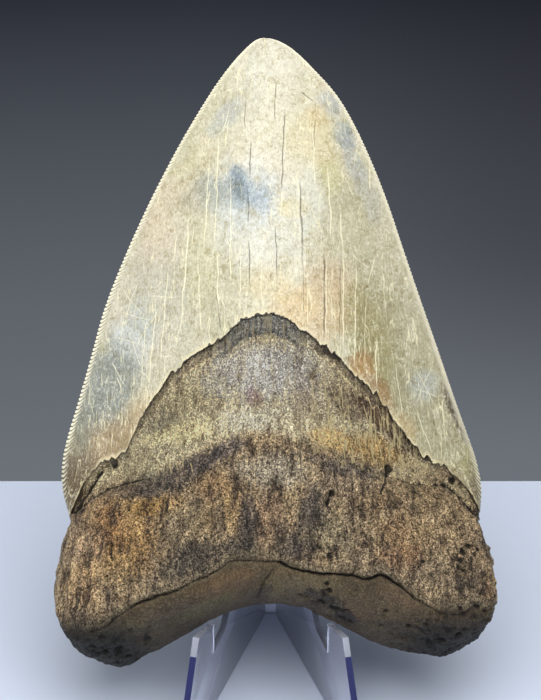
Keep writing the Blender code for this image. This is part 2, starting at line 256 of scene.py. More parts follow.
def join_sheets(name, shown, back, join_ends):
    """Face and back become one closed piece: seams merged, and each open end turned in and closed."""
    select_only(shown, back)
    bpy.ops.object.join()
    shown.name = shown.data.name = name
    bpy.ops.object.mode_set(mode="EDIT")
    bpy.ops.mesh.select_all(action="SELECT")
    bpy.ops.mesh.remove_doubles(threshold=2e-6)
    bpy.ops.mesh.fill_holes(sides=8)
    bpy.ops.mesh.select_all(action="DESELECT")
    bpy.ops.mesh.select_mode(type="EDGE")
    bpy.ops.mesh.select_non_manifold()
    bpy.ops.mesh.extrude_region()
    bpy.ops.object.mode_set(mode="OBJECT")
    turned = [v for v in shown.data.vertices if v.select]
    join_ends(shown.data, turned)
    bpy.ops.object.mode_set(mode="EDIT")
    bpy.ops.mesh.edge_face_add()
    bpy.ops.mesh.quads_convert_to_tris(quad_method="BEAUTY", ngon_method="BEAUTY")
    bpy.ops.mesh.select_all(action="SELECT")
    bpy.ops.mesh.normals_make_consistent(inside=False)
    bpy.ops.object.mode_set(mode="OBJECT")
    bpy.ops.object.shade_smooth_by_angle(angle=math.radians(55))
    return shown


def on_tooth(x, y, z):
    """A place in the display as (across, up, out) on the tooth, both in millimetres."""
    y, z = y + FOOTPRINT_MIDDLE, z - TOOTH_FOOT
    return x, y * math.sin(LEAN) + z * math.cos(LEAN), z * math.sin(LEAN) - y * math.cos(LEAN)


def tooth_places(mesh):
    """Every point of a finished piece as (across, up, out) in millimetres."""
    return on_tooth(*(vectors_of(mesh.vertices, "co") / MM).T)


def as_faced(across, up, out):
    """A place on the shown face as the one who stands square before the tooth points to it: (across, up)."""
    nearer = 1 / (1 - out / EYE_AWAY)
    return EYE_ACROSS + (across - EYE_ACROSS) * nearer, EYE_UP + (up - EYE_UP) * nearer


def lay_plan(mesh):
    """A UV map of the piece as it is faced, in millimetres, on which stains, cracks and lines are laid out."""
    plan = np.stack(as_faced(*tooth_places(mesh)), axis=-1)
    corner = np.empty(len(mesh.loops), int)
    mesh.loops.foreach_get("vertex_index", corner)
    layer = mesh.uv_layers.new(name="plan") if "plan" not in mesh.uv_layers else mesh.uv_layers["plan"]
    layer.data.foreach_set("uv", plan[corner].astype(np.float32).ravel())


luck = np.random.default_rng(7)
serration_size = luck.uniform(0.7, 1.15, SERRATIONS)
crown_rows = SERRATIONS * 3


def crown_points(side, row, foot, edge, front):
    """The points and masks of one face of the crown, whose lowest row lies at the foot."""
    across, up = crown_place(side, TIP[1] + (foot - TIP[1]) * (row / crown_rows) ** CROWDING)
    out = crown_depth(side, across, up, front)
    above_edge = up - edge(across)
    across, out, ridge, from_rim = serrate(side, across, up, out, row)
    shown = np.ones(len(side)) if front else ease(1.2, 0.0, from_rim)
    return across, up, out, {"serration": ridge, "from_rim": from_rim, "above_edge": above_edge, "shown": shown}


def crown_face(side, row):
    return crown_points(side, row, meets(side, enamel_edge), enamel_edge, True)


def crown_rear(side, row):
    at_rim = meets(rim_side(side), enamel_edge) - meets(rim_side(side), back_enamel_edge)
    foot = meets(side, back_enamel_edge) + at_rim * np.abs(side) ** 6
    return crown_points(side, row, foot, back_enamel_edge, False)


def turn_enamel_in(mesh, turned):
    """The enamel's broken edge: it drops steeply to the core, inside which the cap is closed."""
    for vertex in turned:
        across, up, out = on_tooth(*(vertex.co / MM))
        out = max(out - 1.5, 1.0) if out > 1.0 else min(out + 1.2, 0.5)
        across -= math.copysign(0.9 * ease(42.0, 48.0, abs(across)), across)
        vertex.co = in_display(across, up + 0.25, out)


crown = join_sheets(
    "crown",
    tooth_sheet("crown", CROWN_COLUMNS, crown_rows, crown_face, True),
    tooth_sheet("crown_rear", CROWN_BACK_COLUMNS, crown_rows, crown_rear, False),
    turn_enamel_in,
)
lay_plan(crown.data)


def paint(*chart):
    """A red, green and blue as on a paint chart, 0 to 255, as Blender's linear colour."""
    return tuple(((c / 255 + 0.055) / 1.055) ** 2.4 if c > 10 else c / 255 / 12.92 for c in chart) + (1.0,)


def add_node(tree, kind, sockets=None, **settings):
    made = tree.nodes.new(kind)
    for name, value in settings.items():
        setattr(made, name, value)
    for name, value in (sockets or {}).items():
        if isinstance(value, bpy.types.NodeSocket):
            tree.links.new(value, made.inputs[name])
        else:
            made.inputs[name].default_value = value
    return made


def math_of(tree, operation, a, b=0.0):
    return add_node(tree, "ShaderNodeMath", {0: a, 1: b}, operation=operation).outputs[0]


def times(tree, product, *others):
    for other in others:
        product = math_of(tree, "MULTIPLY", product, other)
    return product


def swing(tree, value, size):
    """A value of 0 to 1 made to swing about zero, half the size each way."""
    return times(tree, math_of(tree, "SUBTRACT", value, 0.5), size)


def all_but(tree, mask, share=1.0):
    return math_of(tree, "SUBTRACT", 1.0, times(tree, mask, share))


def ramp(tree, value, low, high, to_low=0.0, to_high=1.0):
    sockets = {"Value": value, "From Min": low, "From Max": high, "To Min": to_low, "To Max": to_high}
    return add_node(tree, "ShaderNodeMapRange", sockets, interpolation_type="SMOOTHSTEP").outputs[0]


def thread(tree, value, wide, fine):
    """A thin line wherever a noise passes through its middle value."""
    away = math_of(tree, "ABSOLUTE", math_of(tree, "SUBTRACT", value, 0.5))
    return ramp(tree, away, wide, fine)


def blend_colour(tree, mask, below, above, way="MIX"):
    sockets = {0: mask, 6: below, 7: above}
    made = add_node(tree, "ShaderNodeMix", sockets, data_type="RGBA", blend_type=way, clamp_factor=True)
    return made.outputs[2]


def masked(tree, name):
    return add_node(tree, "ShaderNodeAttribute", attribute_name=name, attribute_type="GEOMETRY").outputs["Fac"]


def new_group(name, inputs, outputs):
    group = bpy.data.node_groups.new(name, "ShaderNodeTree")
    for socket, kind in inputs:
        group.interface.new_socket(socket, in_out="INPUT", socket_type=kind)
    for socket, kind in outputs:
        group.interface.new_socket(socket, in_out="OUTPUT", socket_type=kind)
    return group, group.nodes.new("NodeGroupInput").outputs, group.nodes.new("NodeGroupOutput").inputs


def hand_on(group, mask, plan, result):
    """The plan goes on to the next mark by way of this one, so that they are worked out one after another."""
    passed = add_node(group, "ShaderNodeVectorMath", {0: mask, 1: (1e-7, 1e-7, 1e-7), 2: plan},
                      operation="MULTIPLY_ADD")
    group.links.new(passed.outputs[0], result)


# A stain is a soft-edged patch of any length and turn, with a ragged outline.
stain, given, result = new_group(
    "stain",
    [("Plan", "NodeSocketVector"), ("Ragged", "NodeSocketFloat"), ("Middle", "NodeSocketVector"),
     ("Turn", "NodeSocketVector"), ("Size", "NodeSocketVector"), ("Strength", "NodeSocketFloat")],
    [("Mask", "NodeSocketFloat"), ("Plan", "NodeSocketVector")],
)
laid = add_node(stain, "ShaderNodeMapping",
                {"Vector": given["Plan"], "Location": given["Middle"], "Rotation": given["Turn"],
                 "Scale": given["Size"]}, vector_type="TEXTURE").outputs[0]
reach = add_node(stain, "ShaderNodeVectorMath", {0: laid}, operation="LENGTH").outputs["Value"]
reach = math_of(stain, "ADD", reach, given["Ragged"])
patch = times(stain, ramp(stain, reach, 1.3, 0.5), given["Strength"])
stain.links.new(patch, result["Mask"])
hand_on(stain, patch, given["Plan"], result["Plan"])

# A line is a long thin crack or scratch between two places, which wanders a little and thins out at its ends.
line, given, result = new_group(
    "line",
    [("Plan", "NodeSocketVector"), ("Wander", "NodeSocketFloat"), ("Middle", "NodeSocketVector"),
     ("Turn", "NodeSocketVector"), ("Half Length", "NodeSocketFloat"), ("Half Width", "NodeSocketFloat")],
    [("Mask", "NodeSocketFloat"), ("Plan", "NodeSocketVector")],
)
laid = add_node(line, "ShaderNodeMapping",
                {"Vector": given["Plan"], "Location": given["Middle"], "Rotation": given["Turn"]},
                vector_type="TEXTURE").outputs[0]
parts = add_node(line, "ShaderNodeSeparateXYZ", {0: laid}).outputs
along = math_of(line, "ABSOLUTE", parts["X"])
off = math_of(line, "ABSOLUTE", math_of(line, "ADD", parts["Y"], given["Wander"]))
off = math_of(line, "DIVIDE", off, given["Half Width"])
ends = math_of(line, "DIVIDE", along, given["Half Length"])
drawn = times(line, ramp(line, off, 1.4, 0.5), ramp(line, ends, 1.0, 0.6))
line.links.new(drawn, result["Mask"])
hand_on(line, drawn, given["Plan"], result["Plan"])


def stain_at(tree, plan, ragged, across, up, wide, high, turn, strength):
    """(mask, plan) of one stain: its middle, half width, half height, turn in degrees and strength."""
    sockets = {"Plan": plan, "Ragged": ragged, "Middle": (across, up, 0.0), "Size": (wide, high, 1.0),
               "Turn": (0.0, 0.0, math.radians(turn)), "Strength": strength}
    return add_node(tree, "ShaderNodeGroup", sockets, node_tree=stain).outputs


def lay_patches(tree, plan, ragged, colour, stains, shown):
    """Lays patches of (across, up, half width, half height, turn, strength, colour) over a colour: stains, and in
    places painted sheen.
    """
    for *form, tint in stains:
        patch, plan = stain_at(tree, plan, ragged, *form)
        colour = blend_colour(tree, times(tree, patch, shown), colour, paint(*tint))
    return colour


def lay_lines(tree, plan, wander, lines):
    """One mask of many lines, each from (across, up) to (across, up) with a half width."""
    mask = 0.0
    for a, b, half_width in lines:
        sockets = {"Plan": plan, "Wander": wander, "Middle": ((a[0] + b[0]) / 2, (a[1] + b[1]) / 2, 0.0),
                   "Turn": (0.0, 0.0, math.atan2(b[1] - a[1], b[0] - a[0])),
                   "Half Length": math.dist(a, b) / 2, "Half Width": half_width}
        drawn, plan = add_node(tree, "ShaderNodeGroup", sockets, node_tree=line).outputs
        mask = math_of(tree, "MAXIMUM", mask, drawn)
    return mask


def new_material(name):
    material = bpy.data.materials.new(name)
    material.use_nodes = True
    tree = material.node_tree
    return material, tree, tree.nodes["Principled BSDF"]


def tooth_coordinates(tree):
    """(plan, place) in millimetres: the faced plan, and the solid place turned upright with the tooth."""
    plan = add_node(tree, "ShaderNodeUVMap", uv_map="plan").outputs[0]
    solid = add_node(tree, "ShaderNodeTexCoord").outputs["Object"]
    place = add_node(tree, "ShaderNodeMapping", {"Vector": solid, "Rotation": (LEAN, 0.0, 0.0),
                                                 "Scale": (1000.0, 1000.0, 1000.0)}).outputs[0]
    return plan, place


def noise_of(tree, vector, scale, detail=2.0, roughness=0.5, distortion=0.0):
    """Noise of one scale, or of three where it is drawn out along an axis."""
    if isinstance(scale, tuple):
        vector = add_node(tree, "ShaderNodeMapping", {"Vector": vector, "Scale": scale}).outputs[0]
        scale = 1.0
    sockets = {"Vector": vector, "Scale": scale, "Detail": detail, "Roughness": roughness,
               "Distortion": distortion}
    return add_node(tree, "ShaderNodeTexNoise", sockets).outputs["Fac"]


ENAMEL_STAINS_AND_SHEEN = [
    # across, up, half width, half height, turn, strength, colour
    # The first two rows are painted sheen: a broad lighter stripe down the middle of the crown and a brighter
    # tip, which stand for light on its rounded face.
    (1.0, 112.0, 13.0, 42.0, 0, 0.7, (214, 209, 186)),
    (-2.0, 141.0, 9.0, 12.0, 0, 0.7, (206, 203, 184)),
    (4.0, 128.0, 8.0, 14.0, 0, 0.4, (212, 205, 176)),
    (-26.0, 88.0, 15.0, 34.0, -20, 0.6, (182, 178, 158)),
    (24.0, 92.0, 12.0, 30.0, 20, 0.65, (176, 170, 140)),
    (36.0, 66.0, 12.0, 22.0, 20, 0.6, (168, 164, 136)),
    (-22.0, 112.0, 5.0, 15.0, -30, 0.5, (206, 196, 156)),
    (-24.0, 104.0, 8.0, 12.0, -20, 0.5, (202, 182, 158)),
    (-30.0, 86.0, 9.0, 16.0, -20, 0.45, (206, 192, 170)),
    (-10.8, 131.0, 4.6, 2.6, 35, 0.6, (168, 172, 168)),
    (-13.6, 127.6, 3.4, 2.2, 40, 0.6, (166, 170, 158)),
    (-17.0, 96.0, 4.5, 14.0, 0, 0.5, (196, 190, 140)),
    (-4.0, 103.0, 12.0, 8.0, 0, 0.55, (212, 212, 202)),
    (-3.0, 116.0, 8.0, 8.0, 0, 0.4, (218, 212, 196)),
    (-7.4, 111.0, 9.0, 8.6, 15, 0.5, (184, 194, 198)),
    (-8.9, 115.6, 3.0, 3.6, 0, 0.7, (130, 148, 160)),
    (-7.6, 111.8, 4.8, 3.8, -20, 0.75, (134, 148, 154)),
    (-4.2, 111.0, 3.8, 3.4, 0, 0.6, (146, 162, 174)),
    (-7.9, 112.8, 1.8, 3.0, 10, 0.6, (94, 110, 118)),
    (-9.0, 117.0, 1.4, 2.0, 0, 0.5, (100, 116, 128)),
    (-15.5, 112.0, 4.8, 4.6, 10, 0.7, (140, 148, 142)),
    (-20.3, 110.3, 2.0, 1.6, 0, 0.6, (140, 142, 120)),
    (13.0, 132.6, 2.6, 3.4, 35, 0.7, (152, 156, 154)),
    (16.2, 125.3, 3.0, 3.6, 30, 0.8, (128, 140, 142)),
    (18.6, 119.5, 2.2, 5.5, 22, 0.65, (156, 160, 156)),
    (22.5, 110.0, 2.4, 9.0, 20, 0.5, (170, 170, 160)),
    (9.7, 130.0, 2.4, 3.0, 0, 0.5, (196, 174, 126)),
    (11.0, 124.0, 4.4, 8.0, 10, 0.5, (208, 192, 138)),
    (5.4, 125.0, 3.0, 6.0, 0, 0.4, (206, 194, 144)),
    (4.4, 108.4, 3.6, 2.6, 0, 0.6, (208, 192, 134)),
    (13.0, 116.0, 3.0, 5.0, 0, 0.6, (182, 176, 120)),
    (8.0, 110.0, 5.0, 8.0, 0, 0.35, (210, 214, 204)),
    (12.0, 84.5, 10.0, 8.0, 0, 0.6, (196, 166, 120)),
    (4.5, 85.0, 6.5, 5.0, 0, 0.5, (206, 178, 126)),
    (13.0, 92.0, 6.0, 5.0, 0, 0.4, (196, 170, 136)),
    (-1.0, 90.0, 7.0, 4.0, 0, 0.4, (208, 190, 138)),
    (24.0, 77.0, 7.0, 17.0, 10, 0.9, (140, 132, 84)),
    (37.5, 60.0, 9.0, 22.0, 20, 0.8, (150, 145, 114)),
    (30.0, 88.0, 8.0, 16.0, 20, 0.5, (170, 164, 136)),
    (20.6, 70.5, 3.4, 4.5, 20, 0.8, (162, 124, 70)),
    (24.8, 64.8, 2.6, 5.5, 28, 0.75, (142, 108, 62)),
    (30.5, 56.5, 3.0, 5.0, 38, 0.5, (180, 152, 98)),
    (35.3, 66.5, 3.6, 4.4, 0, 0.6, (170, 176, 172)),
    (36.0, 93.0, 3.0, 9.0, 20, 0.55, (196, 170, 138)),
    (-33.5, 77.5, 5.4, 9.0, -25, 0.7, (184, 192, 192)),
    (-39.0, 64.5, 6.6, 12.0, -14, 0.85, (138, 144, 136)),
    (-43.4, 56.0, 4.0, 10.0, -16, 0.85, (112, 116, 100)),
    (-37.0, 53.6, 11.5, 4.6, 44, 0.9, (160, 134, 94)),
    (-33.0, 60.5, 6.0, 3.4, 44, 0.6, (176, 156, 112)),
    (-45.4, 47.0, 5.5, 6.6, 40, 0.9, (104, 88, 62)),
    (-41.0, 66.5, 8.0, 10.0, -16, 0.6, (132, 136, 128)),
    (-47.6, 43.0, 4.6, 8.0, 10, 0.8, (96, 82, 58)),
    (-38.6, 53.4, 6.0, 6.6, 20, 0.7, (140, 120, 84)),
    (-40.6, 65.6, 8.0, 9.0, 0, 0.5, (116, 122, 114)),
    (-20.0, 110.0, 5.0, 8.0, 0, 0.4, (166, 160, 136)),
    (-18.0, 96.0, 10.0, 16.0, 0, 0.35, (186, 184, 158)),
    (-29.0, 86.6, 8.0, 11.0, 0, 0.45, (162, 166, 148)),
    (46.4, 41.5, 5.2, 9.0, -14, 1.0, (74, 62, 46)),
    (-47.6, 40.0, 3.4, 7.0, 0, 0.9, (88, 72, 50)),
    (43.3, 59.0, 1.5, 9.0, 24, 1.0, (66, 54, 30)),
    (46.5, 47.0, 2.6, 6.0, 12, 0.7, (140, 138, 92)),
    (44.0, 44.5, 3.0, 4.0, 20, 0.5, (160, 150, 110)),
    (47.4, 40.0, 3.0, 6.5, 0, 0.85, (104, 92, 70)),
]
DARK_LINES = [
    # from (across, up), to (across, up), half width
    ((2.5, 133.0), (1.7, 111.5), 0.14),
    ((0.3, 139.0), (0.0, 128.5), 0.09),
    ((-5.5, 124.6), (-5.9, 116.0), 0.13),
    ((-6.2, 113.0), (-6.3, 104.0), 0.13),
    ((-6.1, 101.4), (-5.6, 88.5), 0.13),
    ((0.2, 104.6), (0.7, 90.5), 0.11),
    ((6.0, 116.0), (6.7, 94.5), 0.16),
    ((11.9, 98.5), (11.8, 76.0), 0.16),
    ((6.7, 98.0), (6.9, 80.0), 0.07),
    ((9.6, 129.6), (9.3, 122.4), 0.08),
    ((-6.6, 134.0), (-7.2, 127.0), 0.08),
    ((6.0, 136.0), (9.4, 133.4), 0.1),
    ((-13.8, 89.0), (-12.6, 79.0), 0.09),
    ((15.6, 97.0), (15.4, 75.0), 0.07),
]
PALE_LINES = [
    ((-15.3, 121.5), (-16.8, 96.0), 0.13),
    ((-13.0, 127.0), (-14.2, 98.0), 0.13),
    ((-10.3, 132.4), (-12.6, 125.8), 0.10),
    ((-13.7, 99.5), (-13.1, 82.0), 0.13),
    ((-10.3, 117.5), (-10.5, 89.0), 0.11),
    ((-20.0, 107.4), (-22.3, 78.0), 0.18),
    ((-18.9, 105.0), (-19.8, 97.0), 0.09),
    ((-18.0, 99.5), (-17.5, 78.0), 0.12),
    ((-23.0, 102.5), (-23.9, 95.0), 0.09),
    ((1.9, 113.0), (1.6, 106.0), 0.12),
    ((5.4, 119.0), (6.1, 97.0), 0.07),
    ((9.0, 128.0), (9.7, 112.0), 0.12),
    ((12.5, 119.5), (13.6, 99.0), 0.15),
    ((15.5, 108.6), (16.2, 97.0), 0.16),
    ((16.4, 99.0), (16.2, 73.5), 0.16),
    ((19.4, 96.5), (18.8, 69.5), 0.14),
    ((12.3, 98.5), (12.2, 75.5), 0.10),
    ((7.9, 95.5), (7.7, 78.5), 0.10),
    ((24.1, 78.5), (24.0, 65.5), 0.14),
    ((18.3, 97.4), (22.3, 94.0), 0.09),
    ((23.6, 97.0), (22.0, 90.0), 0.09),
    ((15.8, 117.0), (19.4, 110.0), 0.07),
    ((-29.6, 87.6), (-23.0, 87.3), 0.07),
    ((-25.0, 96.0), (-27.0, 70.0), 0.12),
    ((-27.6, 90.0), (-30.0, 63.0), 0.11),
    ((-30.2, 84.0), (-31.6, 64.0), 0.09),
    ((-38.4, 72.4), (-35.4, 66.0), 0.12),
    ((-37.4, 68.6), (-36.2, 65.6), 0.10),
    ((-35.0, 80.0), (-31.0, 70.0), 0.07),
    ((-33.0, 70.8), (-29.0, 67.8), 0.07),
    ((33.4, 70.5), (38.6, 60.4), 0.07),
    ((33.0, 61.6), (37.6, 72.0), 0.07),
    ((32.6, 66.0), (39.2, 63.6), 0.07),
    ((-36.4, 90.0), (-30.2, 82.0), 0.06),
    ((-31.6, 92.0), (-36.6, 79.0), 0.06),
    ((-37.4, 84.0), (-28.4, 81.4), 0.06),
    ((-26.6, 86.0), (-33.4, 74.6), 0.06),
    ((-38.6, 78.0), (-30.4, 75.6), 0.06),
    ((-14.6, 70.0), (-15.8, 84.0), 0.09),
    ((-7.9, 98.0), (-8.3, 84.0), 0.08),
    ((-3.0, 96.0), (-3.4, 86.0), 0.07),
    ((21.6, 88.0), (21.4, 71.0), 0.08),
    ((28.6, 72.0), (30.4, 58.0), 0.08),
    ((33.6, 60.0), (37.4, 50.0), 0.09),
]

enamel, tree, shader = new_material("stained_enamel")
plan, place = tooth_coordinates(tree)
shown = masked(tree, "shown")
broad = noise_of(tree, place, 0.09, 4.0, 0.6)
tinge = noise_of(tree, place, (0.16, 0.16, 0.07), 3.0, 0.6)
mottle = noise_of(tree, place, 0.55, 7.0, 0.74, 0.8)
grit = noise_of(tree, place, (2.6, 2.6, 1.3), 4.0, 0.75, 0.4)
ragged = math_of(tree, "ADD", swing(tree, noise_of(tree, place, 0.2, 5.0, 0.6), 1.3), swing(tree, grit, 1.1))
colour = blend_colour(tree, ramp(tree, broad, 0.38, 0.62), paint(182, 177, 144), paint(194, 189, 164))
colour = blend_colour(tree, ramp(tree, tinge, 0.55, 0.68, 0.0, 0.6), colour, paint(190, 172, 142))
colour = blend_colour(tree, ramp(tree, tinge, 0.45, 0.32, 0.0, 0.6), colour, paint(178, 178, 138))
colour = lay_patches(tree, plan, ragged, colour, ENAMEL_STAINS_AND_SHEEN, shown)
colour = blend_colour(tree, ramp(tree, mottle, 0.5, 0.34, 0.0, 0.85), colour, paint(212, 202, 172), "MULTIPLY")
colour = blend_colour(tree, ramp(tree, mottle, 0.51, 0.66), colour, (1.2, 1.22, 1.26, 1.0), "MULTIPLY")
colour = blend_colour(tree, ramp(tree, grit, 0.49, 0.34, 0.0, 0.8), colour, paint(212, 204, 178), "MULTIPLY")
colour = blend_colour(tree, ramp(tree, grit, 0.53, 0.72, 0.0, 0.55), colour, paint(240, 236, 220))

# Growth lines: hairlines that run up the crown and wander a little, in pale and dark.
growth = thread(tree, noise_of(tree, place, (0.42, 0.42, 0.014), 2.0, 0.6), 0.016, 0.005)
part_way = ramp(tree, noise_of(tree, place, (0.5, 0.5, 0.06), 2.0, 0.5), 0.48, 0.56)
colour = blend_colour(tree, times(tree, growth, part_way, 0.55), colour, paint(240, 232, 192))
creases = thread(tree, noise_of(tree, place, 0.42, 3.0, 0.55, 1.6), 0.02, 0.006)
pale_part = ramp(tree, tinge, 0.44, 0.56, -0.4, 0.5)
colour = blend_colour(tree, times(tree, creases, pale_part), colour, paint(238, 234, 212))
dark_part = ramp(tree, tinge, 0.56, 0.44, -0.4, 0.4)
colour = blend_colour(tree, times(tree, creases, dark_part), colour, paint(112, 104, 82))
fibres = noise_of(tree, place, (2.4, 2.4, 0.1), 3.0, 0.65, 0.1)
low_down = masked(tree, "above_edge")
fibre_share = times(tree, ramp(tree, noise_of(tree, place, 0.09, 2.0), 0.42, 0.6, 0.3, 1.0),
                    ramp(tree, low_down, 34.0, 6.0, 0.3, 1.0))
pale_fibres = times(tree, ramp(tree, fibres, 0.55, 0.72), fibre_share)
colour = blend_colour(tree, pale_fibres, colour, paint(234, 224, 182))
dark_fibres = times(tree, ramp(tree, fibres, 0.45, 0.28, 0.0, 0.7), fibre_share)
colour = blend_colour(tree, dark_fibres, colour, paint(168, 150, 112), "MULTIPLY")
wander = swing(tree, noise_of(tree, plan, 0.2, 3.0), 1.1)
broken = ramp(tree, noise_of(tree, place, 0.5, 2.0), 0.36, 0.5, 0.6, 1.0)
pale = times(tree, lay_lines(tree, plan, wander, PALE_LINES), broken, shown)
dark = times(tree, lay_lines(tree, plan, wander, DARK_LINES), broken, shown)
colour = blend_colour(tree, times(tree, pale, 0.62), colour, paint(250, 244, 208))
colour = blend_colour(tree, times(tree, dark, 0.68), colour, paint(66, 58, 44))
specks = add_node(tree, "ShaderNodeTexVoronoi", {"Vector": place, "Scale": 0.75}).outputs["Distance"]
speck_share = ramp(tree, noise_of(tree, place, 0.3, 4.0), 0.54, 0.62)
specks = math_of(tree, "ADD", specks, times(tree, grit, 0.4))
specks = times(tree, ramp(tree, specks, 0.46, 0.24), speck_share)
colour = blend_colour(tree, times(tree, specks, 0.25), colour, paint(132, 106, 74))
from_rim = masked(tree, "from_rim")
rim_light = times(tree, ramp(tree, from_rim, 1.3, 0.2), ramp(tree, low_down, 4.0, 24.0, 0.15, 0.75))
colour = blend_colour(tree, rim_light, colour, paint(238, 232, 204))
# Painted highlight: a pale cream band along the enamel's broken edge, broken up by noise, where the lip catches
# the light.
lip_highlight = ramp(tree, math_of(tree, "ADD", low_down, times(tree, ragged, 0.7)), 1.5, 0.3, 0.0, 0.6)
lip_highlight = times(tree, lip_highlight, ramp(tree, noise_of(tree, place, 0.2, 2.0), 0.4, 0.55, 0.2, 1.0))
colour = blend_colour(tree, lip_highlight, colour, paint(234, 220, 176))
# Painted shadow: a ragged dark fringe at the foot of the enamel, where the step down to the core throws its
# shadow; it also makes the broken edge look finely chipped.
enamel_edge_shadow = ramp(tree, noise_of(tree, place, 0.9, 2.0, 0.5), 0.45, 0.66, 0.0, 0.45)
enamel_edge_shadow = ramp(tree, math_of(tree, "SUBTRACT", low_down, enamel_edge_shadow), 0.14, 0.02)
colour = blend_colour(tree, enamel_edge_shadow, colour, paint(70, 60, 46))
# Painted shade in the clefts between the serrations, and a painted highlight on their crests.
lobes = masked(tree, "serration")
colour = blend_colour(tree, ramp(tree, lobes, -0.08, -0.5, 0.0, 0.85), colour, paint(70, 62, 46))
colour = blend_colour(tree, ramp(tree, lobes, 0.1, 0.4, 0.0, 0.7), colour, paint(236, 230, 202))
tree.links.new(colour, shader.inputs["Base Color"])
tree.links.new(ramp(tree, mottle, 0.3, 0.7, 0.32, 0.52), shader.inputs["Roughness"])
height = math_of(tree, "ADD", times(tree, mottle, 0.4), times(tree, fibres, 0.35))
height = math_of(tree, "ADD", height, times(tree, grit, 0.3))
height = math_of(tree, "SUBTRACT", height, times(tree, dark, 1.2))
height = math_of(tree, "ADD", height, times(tree, pale, 0.4))
bump = add_node(tree, "ShaderNodeBump", {"Strength": 0.6, "Distance": 0.00014, "Height": height})
tree.links.new(bump.outputs[0], shader.inputs["Normal"])
shader.inputs["Specular IOR Level"].default_value = 0.5
crown.data.materials.append(enamel)
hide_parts("tooth")
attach(crown, "root")

# ---- Root and collar ----
# The core of the tooth, bare below the enamel: a dark grainy collar, then the two-lobed root, which swells out
# to a cracked line and turns under. It is fossil bone, rough and porous, one piece with what the enamel covers.
ROOT_UNDERSIDE = [(-51.4, 18.7), (-50.1, 12.2), (-45.5, 5.0), (-36.7, 1.1), (-30.2, 3.4), (-20.7, 8.0),
                  (-14.1, 11.8), (-4.5, 14.9), (5.9, 14.6), (15.6, 10.1), (22.9, 6.4), (32.4, 4.0),
                  (41.3, 4.2), (47.8, 9.0), (51.2, 15.5), (51.0, 22.0)]
ROOT_SWELL = 23.5
ROOT_BACK = -5.0
COLLAR_FOOT = [(-44.0, 40.0), (-36.0, 43.6), (-29.0, 43.5), (-20.0, 49.0), (-9.3, 54.0), (0.0, 55.5),
               (12.0, 53.0), (22.0, 48.0), (29.2, 44.2), (37.4, 43.2), (46.0, 38.5)]
COLLAR_DIP = 0.8
SWELL_LINE = [(-52.0, 13.0), (-46.0, 10.0), (-41.2, 9.6), (-33.9, 14.2), (-25.6, 17.5), (-15.9, 21.5),
              (-7.9, 25.5), (0.4, 24.8), (11.7, 21.5), (25.6, 21.5), (31.3, 17.9), (37.0, 14.2), (44.0, 12.5),
              (52.0, 15.0)]
LONG_CRACK = [(-43.5, 8.2), (-39.6, 9.5), (-37.6, 11.6), (-35.8, 12.8), (-33.4, 14.4), (-29.9, 15.9),
              (-26.5, 17.0), (-23.0, 18.0), (-19.6, 19.9), (-16.1, 21.3), (-12.6, 23.4), (-11.2, 24.9),
              (-6.4, 25.2), (0.1, 24.9), (1.3, 24.7), (4.1, 23.4), (7.0, 22.6), (11.2, 21.8), (14.8, 21.9),
              (18.6, 21.7), (20.8, 20.8), (22.9, 20.8), (25.4, 21.9), (28.2, 20.1), (31.4, 18.0), (33.9, 15.8),
              (36.7, 14.1)]
CRACKS = [
    # lines of (across, up) as the tooth is faced, and half widths; the long crack gapes in two stretches
    (LONG_CRACK, 0.13),
    (LONG_CRACK[14:25] + [(33.4, 16.2)], 0.26),
    (LONG_CRACK[4:8], 0.2),
    ([(18.6, 21.7), (19.0, 23.0), (19.8, 24.2)], 0.15),
    ([(-0.4, 22.6), (-2.6, 19.9), (-3.7, 16.5)], 0.12),
    ([(1.3, 24.7), (1.7, 27.1)], 0.12),
    ([(-46.6, 17.7), (-42.8, 19.4), (-39.6, 21.5)], 0.12),
    ([(-41.0, 19.2), (-37.5, 18.6), (-33.4, 20.3)], 0.07),
    ([(-46.5, 37.4), (-43.5, 39.8), (-39.7, 42.1), (-36.2, 43.2), (-33.0, 44.0), (-29.6, 44.6)], 0.2),
    ([(-41.0, 46.0), (-42.4, 44.0), (-44.0, 41.6), (-45.9, 38.9), (-47.4, 36.6)], 0.34),
    ([(30.2, 43.9), (34.0, 43.3), (37.7, 43.1), (40.3, 43.4)], 0.16),
    ([(40.2, 43.6), (42.6, 41.4), (45.2, 38.8), (47.6, 36.0)], 0.3),
    ([(26.7, 46.0), (26.3, 43.4), (25.2, 41.2)], 0.22),
    ([(-38.6, 30.0), (-38.4, 28.4), (-38.9, 26.6), (-38.3, 25.2)], 0.2),
    ([(13.4, 41.4), (13.0, 40.0), (12.4, 38.6), (13.3, 37.2)], 0.2),
    ([(36.7, 14.1), (39.6, 12.6), (43.2, 12.3), (46.6, 13.6)], 0.1),
]
